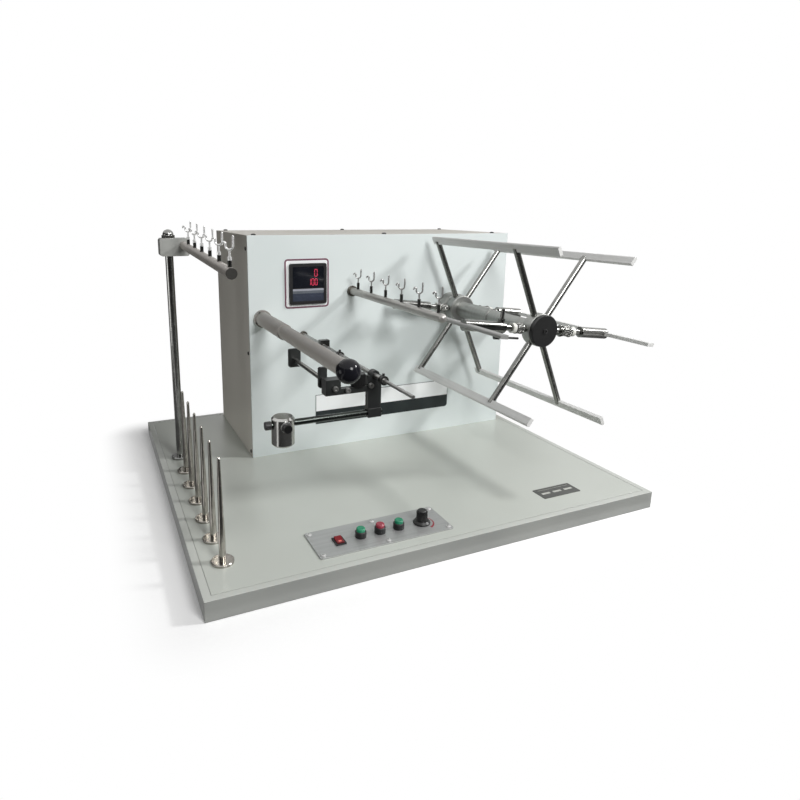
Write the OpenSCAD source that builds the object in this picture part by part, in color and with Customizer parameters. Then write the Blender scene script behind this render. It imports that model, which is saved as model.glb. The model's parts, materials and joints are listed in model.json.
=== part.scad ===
// Yarn wrap reel with a steelyard tension device: a six-armed measuring reel on a cabinet,
// a row of yarn spindles, two rows of yarn hooks and a weighted balance that sets the tension.
// Millimetres, +Z up, origin on the bench under the middle of the base.

/* [Base] */
// Width of the base along X
base_w = 800; // [700:1:900]
// Depth of the base along Y
base_d = 720; // [660:1:820]
// Height of the base
base_h = 30; // [28:1:45]
// Sheet thickness of the base tray
tray_wall = 2; // [1:0.5:4]
// Width of the folded rim around the top sheet
rim_w = 11; // [6:1:20]
// Thickness of the top sheet
sheet_t = 2; // [1:0.5:4]
// Visible groove between rim and top sheet
sheet_gap = 1; // [0.4:0.2:3]
// Width of a rail that carries the top sheet
rail_w = 30; // [20:1:50]

/* [Cabinet] */
// Width of the cabinet
cab_w = 600; // [560:1:640]
// Depth of the cabinet with its front panel
cab_d = 282; // [260:1:290]
// Height of the cabinet above the base
cab_h = 444; // [430:1:500]
// Middle of the cabinet along X
cab_x = 75.5; // [60:0.5:90]
// Front face of the cabinet along Y
front_y = 63; // [50:1:70]
// Thickness of the front panel
panel_t = 3; // [2:0.5:5]
// Sheet thickness of the cabinet shell
shell_t = 2; // [1:0.5:4]
// Open seam between the front panel and the shell
seam = 0.8; // [0.4:0.1:2]
// Depth of the folded lips and feet
lip_depth = 15; // [8:1:25]
// Thickness of the rear panel
rear_t = 2; // [1:0.5:4]
// Length of a cooling slot in the rear panel
vent_len = 110; // [60:1:140]
// Height of a cooling slot
vent_h = 5; // [3:0.5:8]
// Step between cooling slots
vent_step = 14; // [10:1:20]

/* [Counter] */
// Middle of the counter along X
counter_x = -105; // [-120:1:-80]
// Middle of the counter along Z
counter_z = 379; // [360:1:390]
// Width of the counter bezel
counter_w = 77; // [60:1:96]
// Height of the counter bezel
counter_h = 80; // [60:1:96]
// Bezel depth in front of the panel
counter_bezel = 6; // [3:0.5:10]
// Bezel overlap on the panel, each side
counter_lap = 4; // [2:0.5:8]
// Depth of the counter body behind the panel
counter_depth = 75; // [50:1:110]

/* [Reel] */
// Reel axis along X
reel_x = 228.4; // [215:0.1:240]
// Reel axis above the bench
reel_z = 316; // [300:1:330]
// Radius of the reel over its bars, a sixth of the wound length
reel_r = 166.7; // [150:0.1:175]
// Turn of the reel at rest
reel_phase = -6.87; // [-15:0.01:15]
// Arm plane of the rear hub along Y
rear_hub_y = 22; // [15:1:24]
// Arm plane of the front hub along Y
front_hub_y = -225; // [-240:1:-200]
// Front end of the bars along Y
bar_front_y = -331; // [-350:1:-300]
// Rear end of the bars behind the rear arm plane
bar_tail = 14; // [8:1:18]
// Thickness of a bar
bar_t = 6.5; // [5:0.1:8]
// Radial depth of a bar
bar_depth = 15; // [10:0.5:18]
// Grip of an arm on a bar
bar_grip = 6; // [5:0.5:8]
// Diameter of a plain arm
arm_d = 11; // [10:0.5:13]
// Diameter of a hub
hub_d = 59; // [50:1:70]
// Length of a hub
hub_len = 22; // [18:1:26]
// Depth of an arm in its hub
arm_seat = 11; // [8:1:14]
// Diameter of the barrel's rear part
barrel_d = 33; // [28:1:42]
// Diameter of the barrel's front part
barrel_front_d = 29; // [26:1:34]
// Length of the barrel's rear part
barrel_rear_len = 102; // [60:1:150]
// Diameter of the reel shaft
shaft_d = 20; // [16:1:24]
// Diameter of the black end disc
disc_d = 58; // [50:1:66]
// Thickness of the black end disc
disc_t = 7; // [5:0.5:12]

/* [Telescopic arms] */
// Diameter of a telescope rod
tele_d = 11; // [9:0.5:13]
// Radius where the telescope rods end
tele_end = 126; // [118:1:128]
// Diameter of the lock collar and its buffer ring
collar_d = 18; // [15:0.5:22]
// Length of a right collar
release_collar_len = 27; // [15:1:36]
// Length of a left collar
latch_collar_len = 16; // [10:1:20]
// Length of the soft buffer ring
buffer_len = 7; // [4:0.5:9]
// Outer diameter of a sleeve
sleeve_d = 20; // [17:0.5:24]
// Radius where the right sleeves begin
release_r0 = 99; // [95:1:104]
// Radius where the left sleeves begin
latch_r0 = 78; // [76:1:84]
// Travel of a telescopic bar towards the axis
release_travel = 16; // [8:1:18]
// Clear space left at the buffer
buffer_gap = 1; // [0.5:0.1:2]
// Diameter of the lock screw
lock_d = 6; // [5:0.5:7]
// Diameter of the lock screw's grip
lock_grip_d = 7.5; // [7.5:0.5:10]
// Top of the lock screw above the arm axis
lock_h = 33; // [28:1:50]
// Diameter of the stop rod under the left arm
stop_d = 4; // [3:0.5:6]
// Stop rod below the left arm
stop_drop = 18; // [17:0.5:20]
// Radius where the stop rod begins
stop_r0 = 42; // [42:1:50]
// Diameter of the stop rod's knob
stop_knob_d = 8; // [6:0.5:10]
// Length of the stop rod's knob
stop_knob_len = 10; // [8:0.5:14]

/* [Yarn guide] */
// Guide rod along X
guide_x = -9; // [-25:1:5]
// Guide rod above the bench
guide_z = 360.5; // [345:0.5:370]
// Diameter of the guide rod
guide_d = 14.5; // [10:0.5:16]
// First hook in front of the panel
guide_first = 31; // [31:1:40]
// Step between yarns
yarn_step = 60; // [50:1:62]
// Number of yarns
yarn_count = 6; // [4:1:6]
// Rod end past its last hook
guide_tail = 18; // [10:1:24]
// Traverse to each side
traverse = 17.5; // [10:0.5:18]

/* [Hooks] */
// Diameter of the hook stub
stub_d = 5.5; // [4:0.5:7]
// Height of the hook stub
stub_h = 13; // [6:0.5:14]
// Wire of the hook
wire_d = 2.8; // [1.8:0.1:3.2]
// Height of the wire below its fork
stem_h = 9; // [5:0.5:14]
// Radius of the fork, to the wire's middle
fork_r = 5; // [4:0.1:7]
// Length of the tall prong
prong_h = 12; // [8:0.5:16]
// Length of the short prong below its curl
short_h = 2.5; // [2:0.5:5]
// Radius of the curl, to the wire's middle
curl_r = 2; // [1.8:0.1:4]
// Turn of the fork about its stem
fork_turn = -30; // [-60:1:60]

/* [Overhead guide] */
// Post along X
post_x = -359; // [-370:1:-350]
// Post along Y
post_y = 122; // [100:1:140]
// Diameter of the post
post_d = 15; // [13:0.5:20]
// Diameter of the post foot
post_foot_d = 34; // [28:1:44]
// Thickness of the post foot
post_foot_t = 5; // [3:0.5:8]
// Underside of the arm block above the bench
block_z = 435; // [420:1:460]
// Wall of the arm block beyond the tube
block_wall = 3; // [2:0.5:10]
// Width of the arm block along Y
block_d = 30; // [26:1:40]
// Height of the arm block
block_h = 33; // [28:1:40]
// Post axis from the left end of the block
block_left = 17.5; // [14:0.5:24]
// Corner radius of the arm block
block_round = 5; // [2:0.5:8]
// Diameter of the post spigot through the block
spigot_d = 10; // [8:0.5:12]
// Diameter of the dome nut
nut_d = 24; // [20:0.5:30]
// Height of the dome nut
nut_h = 16; // [14:0.5:22]
// Overhead tube from the post along X
over_dx = 25.5; // [22:0.5:34]
// Overhead tube axis above the block's underside
over_dz = 20; // [14:0.5:21]
// Diameter of the overhead tube
over_d = 15; // [12:0.5:17]
// Wall of the overhead tube
over_wall = 2; // [1:0.5:3]
// Droop of the overhead tube
over_droop = 2; // [0:0.1:3]
// Tube end past its last hook
over_tail = 8; // [6:1:20]

/* [Spindles] */
// Row of spindles along X
spindle_x = -358.5; // [-370:0.5:-345]
// First spindle along Y
spindle_y = 51; // [40:1:60]
// Step between spindles
spindle_step = 66; // [55:1:68]
// Height of a spindle
spindle_h = 160; // [120:1:200]
// Diameter of a spindle at its straight foot
spindle_d = 10; // [8:0.5:12]
// Length of the straight foot above the flange
spindle_foot = 30; // [15:1:50]
// Diameter of a spindle at its top
spindle_tip = 4.5; // [4:0.5:7]
// Diameter of a spindle flange
flange_d = 33; // [24:1:40]
// Thickness of a spindle flange
flange_t = 4; // [2:0.5:6]

/* [Tension tube] */
// Tension tube along X
tube_x = -199; // [-205:1:-190]
// Tension tube above the bench
tube_z = 315; // [310:1:325]
// Diameter of the tension tube
tube_d = 24.5; // [20:0.5:27]
// Wall of the tension tube
tube_wall = 3; // [1.5:0.5:5]
// Length of the tension tube
tube_len = 404; // [360:1:410]
// Diameter of the socket that holds the tube's rear part
socket_d = 28; // [28:0.5:32]
// Length of the socket in front of the panel
socket_len = 145; // [80:1:155]
// Diameter of the tube's wall flange
tube_flange_d = 34; // [33:1:46]
// Thickness of the tube's wall flange
tube_flange_t = 8; // [6:1:14]
// Diameter of the black ball
ball_d = 34; // [32:1:40]
// Depth of the ball's stud in the tube
ball_stud = 18; // [10:1:30]

/* [Balance] */
// Balance shaft along X
rock_x = -115; // [-120:1:-108]
// Balance shaft above the bench
rock_z = 277; // [272:1:282]
// Diameter of the balance shaft
rock_d = 8; // [6:0.5:10]
// Front end of the balance shaft along Y
rock_front_y = -382; // [-390:1:-340]
// Diameter of the balance shaft's front end
rock_tip_d = 5.5; // [4:0.5:6]
// Front face of the balance bracket along Y
plate_y = -265; // [-280:1:-255]
// Thickness of the balance bracket
plate_t = 10; // [6:0.5:14]
// Width of the bracket's leg
leg_w = 22; // [18:1:28]
// Beam axis below the balance shaft
beam_drop = 59; // [52:1:64]
// Width of the bracket's end block
end_w = 24; // [20:1:30]
// Height of the bracket's end block
end_h = 24; // [20:1:28]
// Middle of the end block from the shaft along X
end_dx = -68; // [-72:1:-62]
// Middle of the end block from the shaft along Z
end_dz = -12; // [-14:1:-10]
// Height of the bracket's arm
arm_h = 9; // [7:0.5:12]
// Diameter of the lower yarn rod
dancer_d = 8; // [6:0.5:10]
// Rear cheek in front of the panel
cheek_rear = 165; // [120:1:180]
// Front cheek in front of the panel
cheek_front = 298; // [280:1:300]
// Width of the rear cheek
cheek_w = 21; // [18:1:24]
// Width of the front cheek
cheek_slim = 13; // [12:1:18]
// Height of a cheek
cheek_h = 32; // [28:1:34]
// Thickness of a cheek
cheek_t = 6; // [4:0.5:8]
// Length of the beam from the leg's middle
beam_len = 163; // [150:1:175]
// Diameter of the beam
beam_d = 10; // [8:0.5:12]
// Diameter of the beam's end knob
beam_knob_d = 12; // [11:0.5:18]
// Length of the beam's end knob
beam_knob_len = 9; // [8:0.5:16]
// Diameter of the sliding weight
weight_d = 34; // [28:1:40]
// Height of the sliding weight
weight_h = 44; // [36:1:50]
// Beam axis above the weight's middle
weight_dz = 10; // [4:0.5:12]
// Diameter of the weight's thumb screw
thumb_d = 12; // [10:0.5:16]
// Length of the thumb screw's head
thumb_len = 8; // [6:0.5:14]
// Diameter of the balance trim knob
trim_d = 22; // [16:0.5:24]
// Trim knob from the shaft along X
trim_dx = -26; // [-32:1:-26]
// Height of the balance trim knob
trim_h = 20; // [12:0.5:22]
// Stop finger in front of the panel
finger_at = 110; // [80:1:130]

/* [Controls] */
// Left edge of the control plate along X
ctl_x0 = -228; // [-240:1:-220]
// Width of the control plate
ctl_w = 226; // [210:1:240]
// Front edge of the control plate along Y
ctl_y0 = -330; // [-340:1:-320]
// Depth of the control plate
ctl_d = 75; // [66:1:85]
// Row of controls in front of the plate's middle
ctl_row = 4; // [0:0.5:6]
// Thickness of the control plate
ctl_t = 2; // [1:0.5:4]
// Rocker switch from the plate's left edge
switch_at = 42; // [30:1:46]
// Width of the switch frame
switch_w = 17; // [16:0.5:24]
// Depth of the switch frame
switch_d = 22; // [20:0.5:30]
// First button from the plate's left edge
button_at = 78; // [74:1:80]
// Step between buttons
button_step = 33; // [28:1:34]
// Diameter of a button housing
button_d = 17.5; // [17:0.5:22]
// Height of a button housing above the plate
button_h = 10; // [4:0.5:12]
// Diameter of a button cap
cap_d = 14; // [9:0.5:14]
// Cap above its housing
cap_h = 5; // [4:0.5:7]
// Travel of a button
button_travel = 3; // [1.5:0.5:3.5]
// Speed knob from the plate's left edge
knob_at = 186; // [180:1:194]
// Diameter of the knob's skirt
knob_d = 28; // [22:0.5:34]
// Diameter of the knob's grip
grip_d = 18; // [14:0.5:20]
// Diameter of the knob's grip at its top
grip_top_d = 15; // [12:0.5:18]
// Height of the knob
knob_h = 22; // [14:0.5:24]

/* [Drive] */
// Motor axis from the reel axis along X
motor_dx = -130; // [-140:1:-120]
// Motor axis above the bench
motor_z = 130; // [110:1:150]
// Diameter of the motor
motor_d = 84; // [70:1:96]
// Length of the motor
motor_len = 120; // [90:1:140]
// Belt plane behind the panel
belt_y = 52; // [46:1:58]
// Width of the belt
belt_w = 12; // [8:1:16]
// Thickness of the belt
belt_t = 3; // [2:0.5:5]
// Radius of the reel pulley
reel_pulley_r = 60; // [50:1:70]
// Radius of the motor pulley
motor_pulley_r = 20; // [16:1:26]
// Plane of the counting disc behind the belt
count_dy = 32; // [30:1:40]
// Diameter of the counting disc
count_d = 92; // [90:1:104]
// Rear bearing stand behind the panel
stand_y = 135; // [130:1:150]
// Thickness of the stand
stand_t = 8; // [6:0.5:12]

/* [Fits] */
// Radial gap of a running fit
run_fit = 0.05; // [0.01:0.01:0.1]
// Gap of a seated piece
seat_fit = 0.05; // [0.02:0.01:0.2]
// Gap between belt and pulley
belt_fit = 0.3; // [0.3:0.1:0.6]

/* [Hidden] */
$fn = 48;
eps = 0.01;
cut = 1;
chamfer = 1;
cab_x0 = cab_x - cab_w / 2;
cab_x1 = cab_x + cab_w / 2;
cab_y1 = front_y + cab_d;
cab_z1 = base_h + cab_h;
panel_back = front_y + panel_t;
foot_gap = 5;
vent_drop = 60;
vent_rows = 7;
lead_hole_d = 40;
lead_hole_dx = -120;
rail_xs = [-300, 20, 300];
counter_round = 4;
counter_rim = 6;
counter_recess = 1.5;
bar_r0 = reel_r - bar_depth;
arm_tip = bar_r0 + bar_grip;
sleeve_lap = 4;
bar_y1 = rear_hub_y + bar_tail;
bar_len = bar_y1 - bar_front_y;
hub_bore = shaft_d + 2 * run_fit;
hub_chamfer = 2;
barrel_front = front_hub_y + hub_len / 2;
barrel_rear = rear_hub_y - hub_len / 2;
disc_chamfer = 1.5;
arm_r0 = hub_d / 2 - arm_seat;
lock_in = 6;
lock_r = latch_r0 + lock_in;
lock_boss_h = 5;
lock_boss_wall = 3;
lock_gap = 0.4;
stop_web = 6;
guide_last = front_y - guide_first - (yarn_count - 1) * yarn_step;
guide_end = guide_last - guide_tail;
hook_sink = 3;
bush_wall = 2.5;
bush_rim = 3.5;
bush_t = 5;
shaft_bush_tail = 20;
guide_bush_tail = 9;
unit_w = 90;
unit_h = 70;
unit_len = 110;
unit_gap = 10;
unit_round = 6;
unit_boss_d = 10;
unit_boss_in = 8;
unit_drive_d = 50;
unit_drive_len = 45;
unit_drive_drop = 8;
guide_grip = 30;
block_w = block_left + over_dx + over_d / 2 + block_wall;
over_x = post_x + over_dx;
over_z = block_z + over_dz;
over_first = post_y - spindle_y;
over_len = over_first + (yarn_count - 1) * spindle_step + over_tail;
plug_t = 2;
plug_in = 8;
dome_in = 2;
tip_round = 1.4;
tip_h = 2;
ball_sink = 2;
end_x = rock_x + end_dx;
end_z = rock_z + end_dz;
end_deep = 8;
dancer_off = 6;
dancer_x = end_x - dancer_off;
dancer_z = end_z + dancer_off;
dancer_seat = 2;
dancer_tail = 4;
cheek_rise = 3;
cheek_round = 3;
plate_back = plate_y + plate_t;
boss_wall = 4;
clamp_wall = 2;
beam_z = rock_z - beam_drop;
beam_x0 = rock_x - beam_len;
beam_y = plate_y + plate_t / 2;
beam_tail = 3;
beam_cap = 4;
weight_gap = 1;
weight_x = beam_x0 + weight_gap + weight_d / 2;
weight_z = beam_z - weight_dz;
weight_chamfer = 3;
thumb_gap = 1;
stud_d = 6;
stud_gap = 0.3;
arm_top = end_z - end_h / 2 + arm_h;
trim_x = rock_x + trim_dx;
collar_wall = 3;
collar_len = 8;
collar_rear = 190;
collar_front = 28;
collar_screw_d = 4;
finger_low = [-7, -5.5, -6];
finger_high = [11, 5.5, 11];
ctl_y = ctl_y0 + ctl_d / 2 - ctl_row;
ctl_top = base_h + ctl_t;
ctl_round = 4;
ctl_end = 14;
ctl_side = 16;
switch_x = ctl_x0 + switch_at;
switch_rim = 2;
switch_round = 1.5;
switch_lap = 1;
switch_wall = 1.2;
switch_well = 9;
switch_body_w = switch_w - 2 * switch_lap - 2 * seat_fit;
switch_body_d = switch_d - 2 * switch_lap - 2 * seat_fit;
well_w = switch_body_w - 2 * switch_wall;
well_d = switch_body_d - 2 * switch_wall;
rocker_gap = 0.5;
rocker_tilt = 8;
rocker_low = 3;
rocker_high = 4.5;
rocker_taper = 1.2;
pivot_d = 3;
pivot_grip = 0.7;
pivot_play = 0.2;
under_max = 18;
under_gap = 3;
button_under = min(under_max, base_h - tray_wall - under_gap);
button_lap = 0.75;
button_tail_d = button_d - 2 * button_lap;
cap_well = 8;
cap_play = 0.5;
knob_x = ctl_x0 + knob_at;
knob_gap = 0.5;
skirt_h = 2;
skirt_top = 5;
skirt_in = 3;
knob_well_h = 4.5;
pot_d = 17;
pot_h = 12;
pot_floor = 4;
pot_neck_d = 10;
pot_neck_h = 4;
pot_shaft_d = 6;
pot_shaft_in = 7;
pointer_w = 1.2;
pointer_t = 0.7;
motor_x = reel_x + motor_dx;
belt_mid = panel_back + belt_y;
pulley_lip = 2;
pulley_land = 1;
pulley_side = 1.5;
pulley_half = belt_w / 2 + pulley_land + pulley_side;
pulley_gap = 9.5;
motor_face = belt_mid + pulley_half + pulley_gap;
bracket_t = 8;
bracket_edge = 6;
bracket_foot = 60;
motor_round = 10;
motor_shaft_d = 10;
motor_shaft_in = 25;
motor_well = 5;
stand_front = panel_back + stand_y;
stand_back = stand_front + stand_t;
stand_w = 90;
stand_boss_d = 46;
stand_boss_front = 8;
stand_boss_back = 10;
stand_foot = 40;
stand_window_w = 50;
stand_window_low = 50;
stand_window_top = 60;
shaft_tail = stand_back + stand_boss_back + 12;
count_y = belt_mid + count_dy;
count_t = 2;
count_hub = 7;
count_hub_wall = 6;
slot_depth = 14;
slot_w = 6;
sensor_d = 12;
sensor_in = 9;
sensor_r = count_d / 2 - sensor_in;
sensor_gap = 3;
sensor_tail = 18;
sensor_nut_d = 21;
sensor_nut_t = 4;
bearing_d = 62;
bearing_gap = 3;
bearing_t = front_y - rear_hub_y - hub_len / 2 - bearing_gap;
bearing_spigot = 44;
bearing_tail = 6;
bearing_chamfer = 4;
board_w = 170;
board_h = 110;
board_t = 1.6;
board_off = 12;
board_dx = -40;
board_z = 150;
standoff_d = 7;
standoff_in = 7;
transformer = [35, 24.4, 35];
transformer_at = [-60, -40];
relay = [30, 6.4, 30];
relay_at = [5, 0];
can_d = 14;
can_h = 22.4;
can_at = [10, -32];
can_step = 18;
supply = [165, 95, 40];
supply_at = [-180, 150];
supply_vents = 8;
supply_edge = 15;
supply_step = 18;
supply_vent_w = 6;
supply_vent_t = 1.5;
inlet_w = 28;
inlet_h = 22;
inlet_wall = 3;
inlet_body = 22;
inlet_well = 14;
inlet_ear = 8;
inlet_edge = 2;
inlet_t = 3;
inlet_x = cab_x0 + 70;
inlet_z = base_h + 60;
service_x1 = inlet_x + 40;
service_z1 = inlet_z + 30;

// Cylinder along Y between two planes
module ycyl(d, y0, y1, x = 0, z = 0) {
    translate([x, y1, z]) rotate([90, 0, 0]) cylinder(d = d, h = y1 - y0);
}

// Cylinder along X between two planes
module xcyl(d, x0, x1, y = 0, z = 0) {
    translate([x0, y, z]) rotate([0, 90, 0]) cylinder(d = d, h = x1 - x0);
}

// Box between two corners
module box(a, b) {
    translate(a) cube(b - a);
}

// Rectangle with round corners, centred
module round_rect(w, h, r) {
    union() {
        square([w - 2 * r, h], center = true);
        square([w, h - 2 * r], center = true);
        for (x = [-1, 1], y = [-1, 1]) translate([x * (w / 2 - r), y * (h / 2 - r)]) circle(r = r);
    }
}

// Reel frame: local X runs out along arm number k, local Y is the reel axis
module on_reel(k) {
    translate([reel_x, 0, reel_z]) rotate([0, -(reel_phase + 60 * k), 0]) children();
}

// Frame of the drooping overhead tube: local -Y runs forward from the post
module on_overhead() {
    translate([over_x, post_y, over_z]) rotate([over_droop, 0, 0]) children();
}

// Yarn hook: a stub, a wire stem and an open fork with one curled prong
module hook(sink) {
    fork_z = stub_h + stem_h + fork_r;
    curl_turn = 220;
    rotate([0, 0, fork_turn]) {
        translate([0, 0, -sink]) cylinder(d = stub_d, h = stub_h + sink);
        translate([0, 0, stub_h - eps]) cylinder(d = wire_d, h = stem_h + eps);
        translate([0, 0, fork_z]) rotate([90, 0, 0]) rotate([0, 0, 180])
            rotate_extrude(angle = 180) translate([fork_r, 0]) circle(d = wire_d, $fn = 16);
        translate([fork_r, 0, fork_z]) cylinder(d = wire_d, h = prong_h);
        translate([fork_r, 0, fork_z + prong_h]) sphere(d = wire_d);
        translate([-fork_r, 0, fork_z]) cylinder(d = wire_d, h = short_h);
        translate([-fork_r - curl_r, 0, fork_z + short_h]) rotate([90, 0, 0])
            rotate_extrude(angle = curl_turn) translate([curl_r, 0]) circle(d = wire_d, $fn = 16);
    }
}

// Bar: a blade on edge with a round outer edge
module bar() {
    translate([0, bar_y1, 0]) rotate([90, 0, 0]) linear_extrude(height = bar_len) union() {
        translate([bar_r0, -bar_t / 2]) square([bar_depth - bar_t / 2, bar_t]);
        translate([reel_r - bar_t / 2, 0]) circle(d = bar_t);
    }
}

// Slot in an arm's end that the bar sits in
module bar_slot(y) {
    box([bar_r0 - seat_fit, y - sleeve_d, -bar_t / 2 - seat_fit],
        [reel_r, y + sleeve_d, bar_t / 2 + seat_fit]);
}

// Hub with a radial seat for each arm
module hub(y) {
    difference() {
        translate([reel_x, y, reel_z]) rotate([90, 0, 0]) rotate_extrude() polygon([
            [hub_bore / 2, -hub_len / 2], [hub_d / 2 - hub_chamfer, -hub_len / 2],
            [hub_d / 2, -hub_len / 2 + hub_chamfer], [hub_d / 2, hub_len / 2 - hub_chamfer],
            [hub_d / 2 - hub_chamfer, hub_len / 2], [hub_bore / 2, hub_len / 2]]);
        for (k = [0 : 5]) on_reel(k)
            xcyl((k % 3 == 0 ? tele_d : arm_d) + 2 * seat_fit, arm_r0 - seat_fit, hub_d, y);
    }
}

// Toothed-belt pulley as a revolved section, with two flanges
module pulley(r, bore) {
    land = belt_w / 2 + pulley_land;
    lip_r = r + belt_t + pulley_lip;
    rotate([90, 0, 0]) rotate_extrude() polygon([
        [bore / 2, -pulley_half], [lip_r, -pulley_half], [lip_r, -land], [r, -land],
        [r, land], [lip_r, land], [lip_r, pulley_half], [bore / 2, pulley_half]]);
}

// Outline round both pulleys, the motor pulley at the origin and the reel pulley along +Y
module belt_loop(far, r_far, r_near) {
    s = (r_far - r_near) / far;
    c = sqrt(1 - s * s);
    union() {
        circle(r = r_near, $fn = 72);
        translate([0, far]) circle(r = r_far, $fn = 96);
        polygon([[r_near * c, -r_near * s], [r_far * c, far - r_far * s],
            [-r_far * c, far - r_far * s], [-r_near * c, -r_near * s]]);
    }
}

module base_tray() {
    color("lightgrey") difference() {
        box([-base_w / 2, -base_d / 2, 0], [base_w / 2, base_d / 2, base_h]);
        difference() {
            box([-base_w / 2 + tray_wall, -base_d / 2 + tray_wall, tray_wall],
                [base_w / 2 - tray_wall, base_d / 2 - tray_wall, base_h - sheet_t]);
            for (x = rail_xs) box([x - rail_w / 2, -base_d / 2, 0],
                [x + rail_w / 2, base_d / 2, base_h - sheet_t]);
        }
        box([-base_w / 2 + rim_w, -base_d / 2 + rim_w, base_h - sheet_t],
            [base_w / 2 - rim_w, base_d / 2 - rim_w, base_h + cut]);
    }
}

module top_sheet() {
    inset = rim_w + sheet_gap;
    color("gainsboro") difference() {
        box([-base_w / 2 + inset, -base_d / 2 + inset, base_h - sheet_t],
            [base_w / 2 - inset, base_d / 2 - inset, base_h]);
        box([ctl_x0 + ctl_end, ctl_y0 + ctl_side, base_h - sheet_t - cut],
            [ctl_x0 + ctl_w - ctl_end, ctl_y0 + ctl_d - ctl_side, base_h + cut]);
        translate([cab_x + lead_hole_dx, front_y + cab_d / 2, base_h - sheet_t - cut])
            cylinder(d = lead_hole_d, h = sheet_t + 2 * cut);
    }
}

module cabinet_shell() {
    foot_y = panel_back + lip_depth + foot_gap;
    color("gainsboro") union() {
        difference() {
            box([cab_x0, panel_back + seam, base_h], [cab_x1, cab_y1, cab_z1]);
            box([cab_x0 + shell_t, panel_back, base_h - cut],
                [cab_x1 - shell_t, cab_y1 + cut, cab_z1 - shell_t]);
        }
        box([cab_x0 + shell_t - eps, foot_y, base_h],
            [cab_x0 + shell_t + lip_depth, cab_y1 - lip_depth, base_h + shell_t]);
        box([cab_x1 - shell_t - lip_depth, foot_y, base_h],
            [cab_x1 - shell_t + eps, cab_y1 - lip_depth, base_h + shell_t]);
    }
}

module front_panel() {
    hole_w = counter_w - 2 * counter_lap;
    hole_h = counter_h - 2 * counter_lap;
    color("whitesmoke") difference() {
        union() {
            box([cab_x0, front_y, base_h], [cab_x1, panel_back, cab_z1]);
            difference() {
                box([cab_x0 + shell_t, panel_back - eps, base_h],
                    [cab_x1 - shell_t, panel_back + lip_depth, cab_z1 - shell_t]);
                box([cab_x0 + 2 * shell_t, panel_back - cut, base_h + shell_t],
                    [cab_x1 - 2 * shell_t, panel_back + lip_depth + cut, cab_z1 - 2 * shell_t]);
            }
        }
        ycyl(bearing_spigot + 2 * seat_fit, front_y - cut, panel_back + cut, reel_x, reel_z);
        ycyl(guide_d + 2 * bush_wall + 2 * seat_fit, front_y - cut, panel_back + cut, guide_x, guide_z);
        ycyl(rock_d + 2 * bush_wall + 2 * seat_fit, front_y - cut, panel_back + cut, rock_x, rock_z);
        box([counter_x - hole_w / 2, front_y - cut, counter_z - hole_h / 2],
            [counter_x + hole_w / 2, panel_back + cut, counter_z + hole_h / 2]);
    }
}

// Rear panel, with a plate in its lower corner that carries the mains inlet
module rear_panel() {
    y0 = cab_y1 - rear_t;
    color("gainsboro") difference() {
        box([cab_x0 + shell_t, y0, base_h], [cab_x1 - shell_t, cab_y1, cab_z1 - shell_t]);
        for (side = [-1, 1], i = [0 : vent_rows - 1])
            translate([cab_x + side * cab_w / 4, cab_y1 + cut, cab_z1 - vent_drop - i * vent_step])
            rotate([90, 0, 0]) linear_extrude(height = rear_t + 2 * cut)
            round_rect(vent_len, vent_h, vent_h / 2 - eps);
        box([cab_x0, y0 - cut, base_h - cut], [service_x1 + seat_fit, cab_y1 + cut, service_z1 + seat_fit]);
    }
    color("gainsboro") difference() {
        box([cab_x0 + shell_t, y0, base_h], [service_x1, cab_y1, service_z1]);
        box([inlet_x - inlet_w / 2, y0 - cut, inlet_z - inlet_h / 2],
            [inlet_x + inlet_w / 2, cab_y1 + cut, inlet_z + inlet_h / 2]);
    }
}

module counter_case() {
    body_w = counter_w - 2 * counter_lap - 2 * seat_fit;
    body_h = counter_h - 2 * counter_lap - 2 * seat_fit;
    window_w = counter_w - 2 * counter_rim;
    window_h = counter_h - 2 * counter_rim;
    color("black") translate([counter_x, front_y, counter_z]) difference() {
        union() {
            rotate([90, 0, 0]) linear_extrude(height = counter_bezel)
                round_rect(counter_w, counter_h, counter_round);
            box([-body_w / 2, -eps, -body_h / 2], [body_w / 2, panel_t + counter_depth, body_h / 2]);
        }
        translate([0, counter_recess - counter_bezel, 0]) rotate([90, 0, 0])
            linear_extrude(height = counter_bezel) round_rect(window_w, window_h, counter_round / 2);
    }
}

module control_plate() {
    hole_w = switch_w - 2 * switch_lap;
    hole_d = switch_d - 2 * switch_lap;
    color("silver") difference() {
        translate([ctl_x0 + ctl_w / 2, ctl_y0 + ctl_d / 2, base_h]) linear_extrude(height = ctl_t)
            round_rect(ctl_w, ctl_d, ctl_round);
        box([switch_x - hole_w / 2, ctl_y - hole_d / 2, base_h - cut],
            [switch_x + hole_w / 2, ctl_y + hole_d / 2, ctl_top + cut]);
        for (i = [0 : 2]) translate([ctl_x0 + button_at + i * button_step, ctl_y, base_h - cut])
            cylinder(d = button_tail_d + 2 * seat_fit, h = ctl_t + 2 * cut);
        translate([knob_x, ctl_y, base_h - cut])
            cylinder(d = pot_neck_d + 2 * seat_fit, h = ctl_t + 2 * cut);
    }
}

module switch_frame() {
    pivot_end = well_w / 2 + pivot_grip + pivot_play;
    color("black") translate([switch_x, ctl_y, ctl_top]) difference() {
        union() {
            linear_extrude(height = switch_rim) round_rect(switch_w, switch_d, switch_round);
            box([-switch_body_w / 2, -switch_body_d / 2, -button_under],
                [switch_body_w / 2, switch_body_d / 2, eps]);
        }
        box([-well_w / 2, -well_d / 2, -switch_well], [well_w / 2, well_d / 2, switch_rim + cut]);
        xcyl(pivot_d + 2 * run_fit, -pivot_end, pivot_end);
    }
}

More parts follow.
